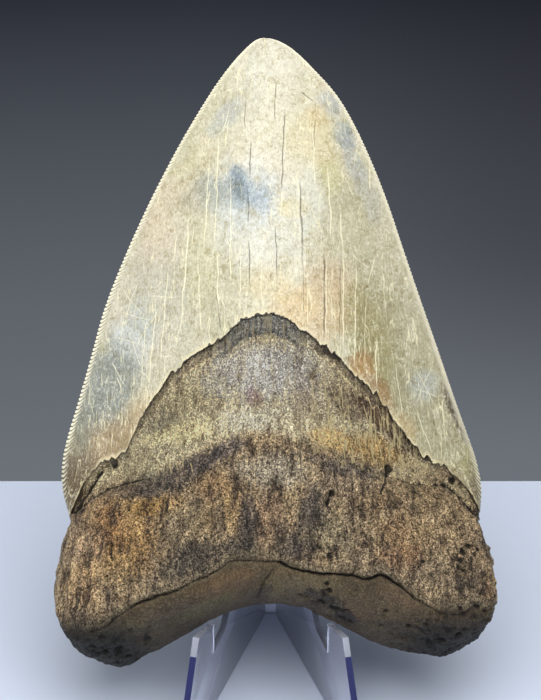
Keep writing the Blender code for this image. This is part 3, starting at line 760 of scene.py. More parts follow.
HOLES = [
    # (across, up) as faced, radius and depth
    (26.8, 46.9, 1.3, 1.6), (26.5, 45.4, 0.7, 0.7), (13.4, 41.1, 0.9, 1.0), (12.6, 39.0, 0.8, 0.6),
    (0.2, 64.6, 0.6, 0.5), (-1.6, 63.6, 0.6, 0.4), (44.4, 27.2, 0.9, 1.0), (44.0, 25.4, 0.8, 0.9),
    (43.6, 23.6, 0.8, 0.8),
    (-37.8, 47.8, 1.3, 0.7), (5.9, 16.9, 0.8, 0.9), (10.9, 15.4, 1.3, 1.4), (8.9, 15.3, 0.9, 1.0),
    (13.0, 18.0, 0.8, 0.8), (12.3, 19.7, 0.7, 0.6), (8.7, 18.2, 0.6, 0.5), (15.6, 11.6, 1.5, 1.4),
    (17.6, 10.6, 1.0, 1.0), (19.2, 18.0, 0.7, 0.4), (26.1, 13.0, 0.7, 0.6), (25.4, 11.9, 0.6, 0.5),
    (25.0, 9.8, 0.6, 0.5), (31.8, 9.7, 0.7, 0.6), (-36.5, 4.0, 1.3, 1.3), (-43.4, 4.7, 1.0, 0.9),
    (-37.6, 6.1, 0.7, 0.5), (-32.0, 3.3, 0.9, 0.8), (-30.3, 6.8, 1.2, 0.5), (-42.8, 3.3, 0.9, 0.8),
    (-45.9, 10.6, 0.6, 0.4), (-38.2, 28.9, 0.6, 0.6), (-38.4, 26.9, 0.6, 0.4), (40.2, 9.3, 1.0, 0.6),
    (38.4, 7.1, 1.1, 0.7), (36.7, 5.7, 1.0, 0.6), (47.3, 12.0, 0.9, 0.6), (44.0, 13.7, 0.8, 0.5),
    (23.5, 5.9, 0.9, 0.5), (27.0, 5.5, 0.9, 0.5), (30.0, 5.4, 0.8, 0.4), (12.9, 26.3, 0.9, 0.8),
    (12.2, 74.3, 0.8, 0.9), (13.9, 73.4, 0.9, 0.9), (15.2, 72.5, 0.6, 0.7), (10.9, 28.4, 0.7, 0.7),
    (46.0, 28.4, 0.9, 0.8), (41.9, 44.0, 1.1, 0.8), (40.2, 42.6, 0.9, 0.6), (14.2, 13.5, 1.7, 1.6),
    (9.6, 13.6, 1.1, 1.1), (6.4, 14.9, 0.9, 1.0), (11.8, 17.0, 0.7, 0.8), (16.4, 13.0, 1.0, 1.0),
    (7.6, 16.6, 0.7, 0.8),
    (-29.6, 6.4, 1.4, 0.8), (-34.6, 2.6, 0.9, 0.9), (-40.0, 3.4, 1.0, 1.0), (41.4, 8.4, 1.4, 0.9),
    (43.6, 7.4, 1.2, 0.8), (39.4, 6.2, 1.2, 0.9), (35.0, 24.9, 0.6, 0.6), (34.2, 23.6, 0.5, 0.5),
]
ROOT_COLUMNS = 310
ROOT_BACK_COLUMNS = 62
COLLAR_ROWS, FACE_ROWS, UNDER_ROWS = 112, 62, 62
TUCK = 2.2                      # how far the core goes on under the enamel


def by_length(points):
    steps = [0.0] + [math.dist(a, b) for a, b in zip(points, points[1:])]
    places = 2 * np.cumsum(steps) / sum(steps) - 1
    return tuple(curve_through(list(zip(places, values))) for values in zip(*points))


under_across, under_up = by_length(ROOT_UNDERSIDE)
collar_foot, swell_line = curve_through(COLLAR_FOOT), curve_through(SWELL_LINE)
crack_line = curve_through(LONG_CRACK)


def root_place(side, fall):
    """(across, up) on the root: fall runs 0 to 1 from the neck to the underside."""
    neck_across, _ = crown_place(side, NECK)
    across = neck_across + (under_across(side) - neck_across) * fall
    return across + 0.5 * side * np.sin(math.pi * fall), NECK + (under_up(side) - NECK) * fall


def swell_fall(side, above=0.0):
    """How far down the root's fullest line lies in each column."""
    fall = np.full(side.shape, 0.5)
    for _ in range(4):
        level = swell_line(root_place(side, fall)[0]) + above
        fall = np.clip((NECK - level) / (NECK - under_up(side)), 0.25, 0.9)
    return fall


def core_row(side, row, top):
    """Where the rows of the core lie: down the collar, down the root's face, then under."""
    down = np.clip(row / COLLAR_ROWS, 0, 1)
    across, up = crown_place(side, NECK + (top(side) - NECK) * (1 - down))
    swell = swell_fall(side)
    face = np.clip((row - COLLAR_ROWS) / FACE_ROWS, 0, 1)
    under = np.clip((row - COLLAR_ROWS - FACE_ROWS) / UNDER_ROWS, 0, 1)
    under = 1 - (1 - under) ** 1.5
    fall = swell * face + (1 - swell) * under
    low_across, low_up = root_place(side, fall)
    on_collar = row <= COLLAR_ROWS
    across, up = np.where(on_collar, across, low_across), np.where(on_collar, up, low_up)
    return across, up, np.where(on_collar, -1.0, fall)


def core_depth(side, across, up, fall, front):
    """Distance from the plane of the cutting edges to the core's surface."""
    on_root = root_share(across, up)
    rim = rim_depth(side, on_root)
    low = fall >= 0
    form = fullness(side, on_root, front)
    if front:
        swell = swell_fall(side)
        fullest = ROOT_SWELL - 2.0 * np.abs(side)
        on_the_way = np.sin(math.pi / 2 * np.clip(fall / swell, 0, 1))
        rising = crown_front(up) + (fullest - crown_front(up)) * on_the_way
        full = np.where(low, np.where(fall < swell, rising, fullest), crown_front(up))
        turned = np.clip((fall - swell) / (1 - swell), 0, 1)
        closing = np.where(low & (fall >= swell), np.maximum(1 - turned**1.8, 0.0) ** 0.62, 1.0)
        thick = (full - rim) * form * closing
        from_edge = up - collar_foot(across)
        height = -ENAMEL_STEP * np.ones(side.shape)
        at = from_edge / np.maximum(enamel_line(across) - collar_foot(across), 2.0)
        height -= np.where((at > 0) & (at < 1), COLLAR_DIP * np.sin(math.pi * np.clip(at, 0, 1)), 0.0)
        height -= 0.6 * np.exp(-((from_edge / 1.6) ** 2))
        height += 0.9 * np.exp(-(((from_edge + 5.0) / 3.5) ** 2))
        height += LUMP * lumps(across, up)
        return rim + thick + height * np.minimum(1.0, thick / 4.0)
    receding = crown_back(up) + (ROOT_BACK - crown_back(up)) * np.minimum(fall * 2, 1.0)
    full = np.where(low, receding, crown_back(up))
    closing = np.where(low, np.maximum(1 - np.clip(fall, 0, 1) ** 5, 0.0) ** 0.5, 1.0)
    thick = (full - rim) * form * closing
    return rim + thick + 0.5 * ease(-0.4, 0.4, np.minimum(1.0, -thick / 2.0) - 0.5)


def under_enamel(side):
    return meets(side, lambda a: np.maximum(enamel_edge(a), NECK) + TUCK)


def tuck_in(side, across, up, edge):
    """(across, tucked): under the enamel the core is a little narrower."""
    tucked = ease(-0.6, 1.2, up - edge(across))
    return across * (1 - 0.016 * tucked * ease(0.8, 1.0, np.abs(side))), tucked


def core_face(side, row):
    across, up, fall = core_row(side, row, under_enamel)
    out = core_depth(side, across, up, fall, True)
    across, tucked = tuck_in(side, across, up, enamel_edge)
    return across, up, out - 0.25 * tucked * ease(1.0, 0.8, np.abs(side)), {"shown": np.ones(len(side))}


def core_rear(side, row):
    across, up, fall = core_row(side, row, lambda s: under_enamel(rim_side(s)) + 2.0 * (1 - s**2))
    out = core_depth(side, across, up, fall, False)
    across, _ = tuck_in(side, across, up, back_enamel_edge)
    return across, up, out, {"shown": ease(0.75, 1.0, np.abs(side)) * (1 - 0.6 * (fall > 0.97))}


def turn_core_in(mesh, turned):
    """The core's upper end, hidden under the enamel, is drawn together."""
    for vertex in turned:
        across, up, out = on_tooth(*(vertex.co / MM))
        out = max(out - 1.5, 1.0) if out > 1.0 else min(out + 1.0, 0.6)
        vertex.co = in_display(across * 0.985, up + 0.1, out)


root_rows = COLLAR_ROWS + FACE_ROWS + UNDER_ROWS
root = join_sheets(
    "root",
    tooth_sheet("root", ROOT_COLUMNS, root_rows, core_face, True, 0.75),
    tooth_sheet("root_rear", ROOT_BACK_COLUMNS, root_rows, core_rear, False, 0.75),
    turn_core_in,
)


def path_distance(across, up, path):
    """Distance of each place from a line of points."""
    nearest = np.full(across.shape, 99.0)
    for (ax, ay), (bx, by) in zip(path, path[1:]):
        along = (across - ax) * (bx - ax) + (up - ay) * (by - ay)
        t = np.clip(along / ((bx - ax) ** 2 + (by - ay) ** 2), 0, 1)
        nearest = np.minimum(nearest, np.hypot(across - ax - t * (bx - ax), up - ay - t * (by - ay)))
    return nearest


def weather_root(mesh):
    """Cracks, vessel holes, pores and grain, pushed in or out along the surface, and masks of what lies low."""
    across, up, out = tooth_places(mesh)
    seen_across, seen_up = as_faced(across, up, out)
    normal = vectors_of(mesh.vertex_normals, "vector")
    facing = ease(-0.2, 0.25, -normal[:, 1] * math.cos(LEAN) + normal[:, 2] * math.sin(LEAN))
    facing = np.maximum(facing, (out > 4.0) * 1.0)
    bare = ease(0.3, -0.3, up - enamel_edge(across)) * facing
    bare = np.maximum(bare, (up < 33.0) * 1.0)
    wriggle = np.array([noise.noise(Vector(p) * 0.9) for p in zip(across, up, out)])
    crack = np.full(len(across), 9.0)
    carve = np.zeros(len(across))
    for path, half_width in CRACKS:
        away = path_distance(seen_across + 0.35 * wriggle, seen_up + 0.25 * np.roll(wriggle, 1), path)
        away = np.where(facing > 0.5, away, 9.0)
        crack = np.minimum(crack, away - half_width)
        carve += 0.9 * (half_width / 0.22) ** 0.5 * np.clip(1 - away / (0.35 + half_width), 0, 1)
    pits = np.zeros(len(across))
    solid = np.stack([across, up, out], axis=-1)
    for a, b, radius, deep in HOLES:
        gap = np.hypot(seen_across - a, seen_up - b) + np.where(facing > 0.5, 0.0, 99.0)
        middle = solid[np.argmin(gap)]
        away = np.linalg.norm(solid - middle, axis=1) / (radius * (1 + 0.35 * wriggle))
        pits = np.maximum(pits, deep * ease(1.15, 0.25, away))
    above_crack = seen_up - crack_line(seen_across)
    face = ease(-1.5, 1.5, above_crack) * facing
    lobe = ease(22.0, 37.0, np.abs(seen_across)) * ease(15.5, 6.0, seen_up) * facing
    grain = np.array([noise.noise(Vector((x * 1.25, y * 0.85, z * 1.25))) for x, y, z in solid])
    rough = np.array([noise.fractal(Vector(p) / 3.1, 0.8, 2.1, 4) for p in solid])
    pores = np.array([noise.voronoi(Vector(p) / 1.9)[0][0] for p in solid])
    caves = np.array([noise.voronoi(Vector((x * 0.28, y * 0.42, z * 0.3)))[0][0] for x, y, z in solid])
    rubble = np.maximum(lobe, ease(36.0, 44.0, seen_across) * ease(34.0, 28.0, seen_up)) * facing
    from_holes = np.hypot((seen_across - 11.5) / 6.5, (seen_up - 14.5) / 4.0)
    rubble = np.maximum(rubble, 0.9 * ease(1.4, 0.5, from_holes) * facing)
    pores = ease(0.42, 0.1, pores) * (0.1 + 0.12 * (1 - face) + 0.4 * lobe)
    pores = pores + 0.8 * rubble * ease(0.34, 0.1, caves)
    ridges = np.array([noise.noise(Vector((x * 1.1, y * 0.07, z * 0.2))) for x, y, z in solid])
    furrows = np.array([noise.fractal(Vector((x * 0.62, y * 0.06, z * 0.25)), 0.8, 2.0, 3) for x, y, z in solid])
    on_collar = ease(-1.0, 3.0, up - collar_foot(across)) * facing
    on_face = face * (1 - on_collar) * ease(-1.0, 4.0, above_crack)
    relief = rough * (0.2 + 0.1 * face - 0.14 * on_collar + 0.45 * rubble) + grain * (0.08 + 0.06 * face)
    relief += 0.12 * ridges * on_collar + 0.3 * furrows * on_face - pores
    fade = ease(0.0, 2.0, out + 4.2) * 0.6 + 0.4
    moved = bare * (relief * fade - carve - pits)
    weathered = vectors_of(mesh.vertices, "co") + normal * moved[:, None] * MM
    mesh.vertices.foreach_set("co", weathered.ravel())
    keep_masks(mesh, {"crack": np.clip(crack, -1, 9), "hollow": pits + pores, "face": face,
                      "relief": relief + pores, "collar": on_collar, "lobe": lobe, "above_crack": above_crack,
                      "edge_near": np.clip(enamel_edge(across) - up, -5, 60)})


weather_root(root.data)
lay_plan(root.data)

# Grain is the fine pale and dark speckle of fossil bone, finer or longer by its stretch.
grain, given, result = new_group(
    "bone_grain",
    [("Place", "NodeSocketVector"), ("Stretch", "NodeSocketVector"), ("Sharpness", "NodeSocketFloat")],
    [("Mask", "NodeSocketFloat")],
)
drawn = add_node(grain, "ShaderNodeVectorMath", {0: given["Place"], 1: given["Stretch"]},
                 operation="MULTIPLY")
fine = noise_of(grain, drawn.outputs[0], 1.0, 3.0, 0.75, 0.3)
low = math_of(grain, "SUBTRACT", 0.5, given["Sharpness"])
high = math_of(grain, "ADD", 0.5, given["Sharpness"])
grain.links.new(ramp(grain, fine, low, high), result["Mask"])


def grain_of(tree, place, stretch, sharpness):
    sockets = {"Place": place, "Stretch": stretch, "Sharpness": sharpness}
    return add_node(tree, "ShaderNodeGroup", sockets, node_tree=grain).outputs[0]


ROOT_STAINS_AND_SHEEN = [
    (-36.0, 31.0, 10.0, 9.0, 0, 0.75, (156, 122, 72)),
    (-28.6, 38.2, 8.0, 2.6, 6, 0.8, (166, 132, 72)),
    (-38.4, 33.0, 3.6, 7.0, 10, 0.5, (138, 98, 58)),
    (-44.0, 27.0, 4.5, 8.0, 0, 0.6, (158, 134, 110)),
    (-45.0, 20.0, 5.0, 6.0, 0, 0.6, (152, 124, 90)),
    (-38.0, 23.0, 8.0, 4.0, 0, 0.5, (154, 126, 82)),
    (-22.0, 33.0, 6.0, 8.0, 0, 0.55, (124, 112, 90)),
    (-10.0, 38.0, 7.0, 6.5, 0, 0.6, (156, 128, 84)),
    (-14.5, 43.0, 4.6, 3.8, 20, 0.5, (150, 118, 78)),
    (-1.5, 35.0, 5.0, 7.0, 0, 0.5, (126, 96, 76)),
    (-18.6, 26.0, 7.4, 3.8, 24, 0.85, (48, 44, 40)),
    (-23.5, 23.0, 4.0, 2.4, 20, 0.6, (66, 60, 50)),
    (-6.2, 33.5, 2.6, 9.0, 0, 0.9, (50, 43, 43)),
    (-8.6, 27.6, 5.2, 3.2, 0, 0.85, (54, 48, 42)),
    (-13.2, 35.0, 1.6, 7.0, 0, 0.55, (70, 62, 54)),
    (1.6, 29.5, 2.6, 5.5, 0, 0.7, (62, 54, 48)),
    (7.4, 32.0, 3.4, 9.0, -6, 0.85, (62, 54, 50)),
    (10.4, 38.0, 3.0, 6.0, 10, 0.65, (74, 66, 62)),
    (4.6, 28.4, 2.6, 3.2, 0, 0.6, (66, 58, 58)),
    (14.0, 31.0, 4.6, 5.6, 0, 0.45, (138, 132, 108)),
    (24.0, 30.0, 2.0, 8.0, 0, 0.4, (92, 80, 62)),
    (30.8, 31.6, 7.4, 6.4, 0, 0.65, (132, 104, 72)),
    (35.4, 33.6, 4.6, 5.0, 0, 0.5, (152, 132, 102)),
    (29.5, 26.0, 5.0, 3.4, 0, 0.5, (136, 98, 66)),
    (24.0, 39.5, 6.0, 3.4, 0, 0.5, (140, 116, 84)),
    (46.2, 30.5, 2.4, 4.6, 0, 0.7, (156, 136, 110)),
    (45.6, 22.0, 4.0, 5.0, 0, 0.6, (80, 66, 52)),
    (38.0, 22.0, 5.0, 4.0, 0, 0.4, (136, 120, 98)),
    (50.4, 17.4, 1.8, 4.0, 0, 0.5, (118, 88, 62)),
    (0.0, 46.4, 9.0, 4.4, 0, 0.65, (154, 148, 136)),
    (20.0, 43.4, 8.0, 2.6, -8, 0.5, (142, 124, 104)),
    (-27.4, 43.2, 8.6, 3.2, 16, 0.9, (66, 58, 56)),
    (-18.0, 48.0, 7.4, 2.6, 26, 0.9, (70, 62, 62)),
    (-11.0, 51.6, 5.4, 2.0, 26, 0.85, (80, 72, 74)),
    (-35.5, 41.4, 4.6, 1.6, 8, 0.7, (88, 74, 62)),
    (-32.0, 47.4, 6.6, 2.6, 10, 0.65, (132, 124, 100)),
    (-26.0, 56.0, 7.0, 5.0, 30, 0.75, (106, 100, 84)),
    (-19.0, 64.0, 8.0, 4.4, 34, 0.5, (146, 136, 104)),
    # Painted sheen: this pale silvery patch in the middle of the collar stands for its gloss catching the light.
    (-2.0, 69.6, 13.0, 7.0, 0, 0.85, (170, 168, 168)),
    (-14.0, 68.0, 5.0, 4.0, 30, 0.5, (150, 146, 140)),
    (8.0, 64.0, 6.0, 6.0, -30, 0.5, (128, 116, 106)),
    (-4.6, 63.4, 2.0, 2.8, 20, 0.6, (118, 82, 84)),
    (-20.5, 55.6, 11.5, 2.6, 14, 0.85, (194, 184, 146)),
    (-5.0, 58.6, 10.0, 3.2, 6, 0.85, (188, 182, 166)),
    (6.5, 56.4, 8.0, 3.0, -14, 0.85, (184, 174, 148)),
    (14.0, 53.6, 6.0, 2.4, -18, 0.75, (188, 156, 98)),
    (23.6, 51.4, 8.4, 3.6, -20, 0.85, (146, 116, 66)),
    (18.0, 62.0, 6.6, 4.0, -40, 0.75, (98, 80, 62)),
    (24.8, 59.6, 7.4, 3.2, -48, 0.95, (72, 48, 28)),
    (30.0, 53.8, 5.0, 2.8, -50, 0.9, (64, 44, 28)),
    (16.5, 47.2, 10.0, 2.0, -16, 0.85, (84, 74, 72)),
    (33.6, 46.8, 4.4, 2.2, -20, 0.6, (150, 134, 104)),
    (39.2, 45.2, 2.6, 2.4, 0, 0.7, (98, 76, 56)),
]
COLLAR_LINES = [
    ((8.9, 68.7), (9.4, 61.4), 0.1), ((11.7, 68.1), (12.3, 62.5), 0.12), ((15.1, 68.1), (16.5, 60.2), 0.14),
    ((10.3, 56.3), (11.7, 51.2), 0.16), ((13.7, 57.4), (14.5, 50.1), 0.14), ((15.1, 55.2), (17.0, 48.4), 0.16),
    ((19.3, 56.9), (21.3, 47.3), 0.14), ((21.0, 62.5), (22.7, 55.2), 0.12), ((22.4, 53.5), (23.8, 47.3), 0.14),
    ((24.3, 55.2), (25.5, 47.9), 0.14), ((26.6, 52.9), (27.4, 47.9), 0.12), ((27.7, 58.1), (28.2, 52.9), 0.12),
    ((29.6, 47.9), (30.1, 43.9), 0.14), ((17.8, 54.0), (18.8, 48.0), 0.12), ((12.4, 62.0), (13.4, 55.0), 0.12),
    ((6.0, 56.0), (10.6, 52.6), 0.14), ((-27.7, 48.5), (-27.4, 45.2), 0.14), ((-24.9, 50.2), (-24.3, 45.2), 0.14),
    ((-23.2, 49.1), (-22.9, 46.3), 0.12), ((-21.5, 50.2), (-21.4, 46.8), 0.12),
    ((-19.8, 48.5), (-19.3, 45.7), 0.12),
]
UNDER_STAINS = [
    (-34.0, 8.0, 9.0, 3.2, 18, 0.6, (98, 88, 66)),
    (-12.0, 18.6, 7.0, 3.0, 24, 0.6, (98, 74, 46)),
    (-24.5, 12.4, 8.0, 2.6, 22, 0.65, (54, 44, 34)),
    (-8.0, 20.8, 4.6, 2.6, 10, 0.6, (88, 68, 44)),
    (0.0, 19.0, 4.0, 3.0, 0, 0.5, (96, 84, 54)),
    (-16.0, 14.4, 8.0, 1.4, 24, 0.6, (78, 76, 46)),
    (8.0, 19.4, 8.0, 2.4, -6, 0.5, (84, 76, 56)),
    (24.0, 13.4, 11.0, 4.2, -12, 0.55, (74, 61, 43)),
    (18.0, 12.6, 3.6, 2.4, 0, 0.5, (90, 70, 46)),
    (30.0, 17.0, 6.0, 2.6, -20, 0.4, (90, 72, 54)),
    (10.6, 14.6, 4.0, 1.8, 0, 0.6, (44, 34, 26)),
    (12.6, 15.8, 4.4, 1.3, -28, 0.85, (26, 20, 15)),
    (16.8, 11.8, 3.4, 1.5, -20, 0.95, (18, 14, 10)),
    (8.6, 17.2, 2.2, 1.0, -20, 0.8, (30, 24, 18)),
    (-2.6, 17.6, 1.8, 3.0, -30, 0.6, (42, 32, 22)),
    (27.5, 10.0, 5.0, 1.2, -10, 0.6, (40, 32, 24)),
    (42.0, 9.0, 8.0, 5.0, 20, 0.8, (52, 42, 34)),
    (-40.0, 5.6, 9.0, 4.6, -20, 0.7, (62, 56, 44)),
]

bone, tree, shader = new_material("fossil_bone")
plan, place = tooth_coordinates(tree)
shown = masked(tree, "shown")
broad = noise_of(tree, place, 0.07, 3.0, 0.6)
fine_speckle = grain_of(tree, place, (3.1, 3.1, 2.6), 0.15)
speckle = grain_of(tree, place, (1.5, 1.5, 1.1), 0.15)
ragged = noise_of(tree, place, (0.3, 0.3, 0.17), 5.0, 0.68)
ragged = math_of(tree, "ADD", swing(tree, ragged, 1.4), swing(tree, speckle, 0.35))
face_colour = blend_colour(tree, ramp(tree, broad, 0.38, 0.62), paint(127, 110, 88), paint(151, 131, 102))
collar = masked(tree, "collar")
collar_colour = blend_colour(tree, ramp(tree, broad, 0.38, 0.62), paint(150, 139, 114), paint(168, 158, 132))
upper = blend_colour(tree, collar, face_colour, collar_colour)
upper = lay_patches(tree, plan, ragged, upper, ROOT_STAINS_AND_SHEEN, shown)
above_crack = masked(tree, "above_crack")
# Painted shade: the lowest few millimetres of the root's face, just above the long crack where the surface turns
# under, are darkened.
shade_above_crack = ramp(tree, math_of(tree, "ADD", above_crack, ragged), 3.4, 1.2, 0.0, 0.7)
upper = blend_colour(tree, shade_above_crack, upper, paint(100, 90, 70))

# Below the enamel's edge lie a brown strip and a thin pale line; under the peak the strip is broad and slaty.
near = masked(tree, "edge_near")
rough_near = math_of(tree, "ADD", near, times(tree, ragged, 0.45))
strip_share = ramp(tree, math_of(tree, "ABSOLUTE", masked(tree, "across")), 34.0, 18.0, 0.25, 1.0)
strip = times(tree, ramp(tree, rough_near, 3.0, 2.2, 0.0, 0.75), strip_share)
upper = blend_colour(tree, strip, upper, paint(106, 92, 74))
pale_line = times(tree, ramp(tree, rough_near, 2.5, 2.9), ramp(tree, rough_near, 3.6, 3.1), strip_share)
upper = blend_colour(tree, times(tree, pale_line, 0.6), upper, paint(200, 186, 150))
under_peak, _ = stain_at(tree, plan, 0.0, -4.0, 79.0, 12.5, 12.0, 0, 1.0)
slate = times(tree, ramp(tree, rough_near, 5.4, 4.2), under_peak)
slaty = blend_colour(tree, ramp(tree, rough_near, 2.6, 4.0), paint(104, 104, 102), paint(62, 63, 68))
upper = blend_colour(tree, times(tree, slate, 0.95), upper, slaty)
# Painted shadow: a thin dark line, broken by noise, right under the enamel's edge where its step throws shade on
# the core.
shadow_under_enamel = times(tree, ramp(tree, near, 0.5, 0.1, 0.0, 0.7),
                 ramp(tree, noise_of(tree, place, 0.4, 2.0), 0.42, 0.56, 0.2, 1.0))
upper = blend_colour(tree, shadow_under_enamel, upper, paint(44, 37, 30))
# The underside below the long crack is olive brown and smoother, and its colour is also darkened as painted
# shade, since it faces down and away from the lamps.
underside_colour_and_shade = blend_colour(tree, ramp(tree, broad, 0.38, 0.62), paint(62, 51, 31), paint(73, 60, 39))
underside_colour_and_shade = lay_patches(tree, plan, ragged, underside_colour_and_shade, UNDER_STAINS, shown)
face = masked(tree, "face")
colour = blend_colour(tree, face, underside_colour_and_shade, upper)
# Painted shade: the lower ends of the two root lobes are darkened almost to black where they turn under towards
# the table.
lobe = masked(tree, "lobe")
colour = blend_colour(tree, lobe, colour, paint(12, 9, 6))

# Upright streaks on the root's face, and pale hairlines down the ochre and brown part of the collar.
streaks = noise_of(tree, place, (0.52, 0.52, 0.07), 4.0, 0.62, 0.2)
streak_share = times(tree, all_but(tree, collar), face, ramp(tree, above_crack, -1.0, 6.0, 0.3, 1.0))
dark_streaks = times(tree, ramp(tree, streaks, 0.5, 0.36, 0.0, 0.95), streak_share)
colour = blend_colour(tree, dark_streaks, colour, paint(112, 94, 72), "MULTIPLY")
paler = blend_colour(tree, 1.0, colour, (1.36, 1.34, 1.26, 1.0), "MULTIPLY")
paler = blend_colour(tree, 0.25, paler, paint(190, 172, 136))
pale_streaks = times(tree, ramp(tree, streaks, 0.54, 0.68, 0.0, 0.7), streak_share)
colour = blend_colour(tree, pale_streaks, colour, paler)
on_ochre, _ = stain_at(tree, plan, 0.0, 22.0, 54.0, 17.0, 10.0, -25, 1.0)
hair_share = math_of(tree, "MAXIMUM", on_ochre, times(tree, collar, 0.35))
hair = thread(tree, noise_of(tree, place, (0.8, 0.8, 0.05), 2.0, 0.5), 0.055, 0.02)
broken = ramp(tree, noise_of(tree, place, (0.5, 0.5, 0.12), 2.0), 0.42, 0.54)
hair = times(tree, hair, hair_share, broken)
wander = swing(tree, noise_of(tree, plan, 0.3, 3.0), 1.0)
drawn = times(tree, lay_lines(tree, plan, wander, COLLAR_LINES), shown)
hair = math_of(tree, "MAXIMUM", hair, drawn)

# Grain: fine salt and pepper everywhere, strongest on the face and collar. The colours laid so far are lifted
# first, because the grain darkens them on the whole.
mixed = math_of(tree, "ADD", times(tree, speckle, 0.3), times(tree, fine_speckle, 0.7))
contrast = math_of(tree, "ADD", times(tree, face, 0.5), 0.5)
contrast = times(tree, contrast, ramp(tree, above_crack, 0.5, 4.0, 0.9, 1.0))
colour = blend_colour(tree, 1.0, colour, (1.74, 1.69, 1.55, 1.0), "MULTIPLY")
patchy = noise_of(tree, place, (0.6, 0.6, 0.24), 6.0, 0.7)
dark_patches = times(tree, ramp(tree, patchy, 0.49, 0.34, 0.0, 0.85), contrast)
colour = blend_colour(tree, dark_patches, colour, paint(146, 128, 104), "MULTIPLY")
pale_patches = times(tree, ramp(tree, patchy, 0.51, 0.67), contrast)
colour = blend_colour(tree, pale_patches, colour, (1.5, 1.53, 1.56, 1.0), "MULTIPLY")
paler = blend_colour(tree, 1.0, colour, (2.3, 2.32, 2.3, 1.0), "MULTIPLY")
paler = blend_colour(tree, 0.22, paler, paint(240, 232, 210))
dark_grains = times(tree, ramp(tree, mixed, 0.48, 0.18), contrast, all_but(tree, collar, 0.3))
colour = blend_colour(tree, dark_grains, colour, paint(90, 72, 54), "MULTIPLY")
pale_share = math_of(tree, "ADD", times(tree, face, 0.4), 0.6)
pale_grains = times(tree, ramp(tree, mixed, 0.55, 0.84), contrast, all_but(tree, lobe, 0.7), pale_share)
colour = blend_colour(tree, pale_grains, colour, paler)
colour = blend_colour(tree, times(tree, hair, 0.92), colour, paint(240, 220, 164))
# Painted shade: the low places of the relief are darkened, and the holes, pores and cracks are made near black,
# for the shade that falls into them.
relief = masked(tree, "relief")
colour = blend_colour(tree, ramp(tree, relief, -0.06, -0.4, 0.0, 0.65), colour, paint(46, 37, 28))
hollow = masked(tree, "hollow")
colour = blend_colour(tree, ramp(tree, hollow, 0.1, 0.6, 0.0, 0.92), colour, paint(28, 22, 17))
crack = math_of(tree, "ADD", masked(tree, "crack"), swing(tree, fine_speckle, 0.3))
colour = blend_colour(tree, ramp(tree, crack, 0.16, -0.04, 0.0, 0.95), colour, paint(22, 17, 13))
tree.links.new(colour, shader.inputs["Base Color"])
roughness = ramp(tree, mixed, 0.2, 0.9, 0.7, 0.46)
roughness = math_of(tree, "SUBTRACT", roughness, times(tree, collar, 0.14))
tree.links.new(roughness, shader.inputs["Roughness"])
height = times(tree, mixed, contrast)
bump = add_node(tree, "ShaderNodeBump", {"Strength": 1.0, "Distance": 0.0007, "Height": height})
tree.links.new(bump.outputs[0], shader.inputs["Normal"])
shader.inputs["Specular IOR Level"].default_value = 0.5
root.data.materials.append(bone)
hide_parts("tooth")
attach(root, "root")

# ---- Easel ----
# One clear acrylic moulding: a narrow spine with two thin wings that open towards the front like a book. Each
# wing has a lip and a notch for the root and a sloping rest for the back of the tooth. Its edges are round.
SHEET = 1.5
WING_SPLAY = math.radians(16.8)
EASEL_SHIFT = -0.9
FOOT_ACROSS = 20.8
FOOT_AHEAD = 24.3
REST_TOP = 74.0
SPINE_GAP = 3.7
SPINE_SHEET = 1.85
TOE_RADIUS = 2.0
EDGE_ROUNDING = 0.22
ACRYLIC_IOR = 1.49
FRONT_FROM = 13.5               # further than this from the middle, a narrow face is one of the front edges
BLUE_TO = 21.2                  # the front edges are blue up to this height, and whitish between the next two
WHITE_FROM, WHITE_TO = 21.4, 26.0
wing_reach = (FOOT_ACROSS - SPINE_GAP / 2) / math.sin(WING_SPLAY)
rest_out = 0.3 - ROOT_BACK


def rest_at(up):
    y = rest_out * math.cos(LEAN) + (up - TOOTH_FOOT + rest_out * math.sin(LEAN)) * math.tan(LEAN)
    return (y + FOOT_AHEAD) / math.cos(WING_SPLAY), up


toe = [(TOE_RADIUS * (1.3 - math.cos(math.radians(a))), TOE_RADIUS * (1 - math.sin(math.radians(a))))
       for a in range(90, -1, -10)]
wing_outline = toe + [
    (11.165, 21.3), (13.3, 25.2), (24.6, 22.0), (23.9, 21.2), (23.8, 14.5), (28.0, 15.2), (32.4, 15.7),
    rest_at(19.5), rest_at(REST_TOP - 3.0), (rest_at(REST_TOP - 3.0)[0] + 1.2, REST_TOP),
    (wing_reach, REST_TOP), (wing_reach, 0.0),
]


def moulded_plate(name, outline, thickness):
    """A flat plate cut to an outline, standing in the XZ plane, its faces and edges closed."""
    drawn = bpy.data.curves.new(name, "CURVE")
    drawn.dimensions = "2D"
    drawn.fill_mode = "BOTH"
    drawn.extrude = thickness * MM / 2
    spline = drawn.splines.new("POLY")
    spline.points.add(len(outline) - 1)
    for point, (x, y) in zip(spline.points, outline):
        point.co = (x * MM, y * MM, 0.0, 1.0)
    spline.use_cyclic_u = True
    plate = bpy.data.objects.new(name, drawn)
    bpy.context.scene.collection.objects.link(plate)
    select_only(plate)
    bpy.ops.object.convert(target="MESH")
    bpy.ops.object.mode_set(mode="EDIT")
    bpy.ops.mesh.select_all(action="SELECT")
    bpy.ops.mesh.remove_doubles(threshold=1e-6)
    bpy.ops.object.mode_set(mode="OBJECT")
    plate.rotation_euler.x = math.pi / 2
    bpy.ops.object.transform_apply(rotation=True)
    return plate


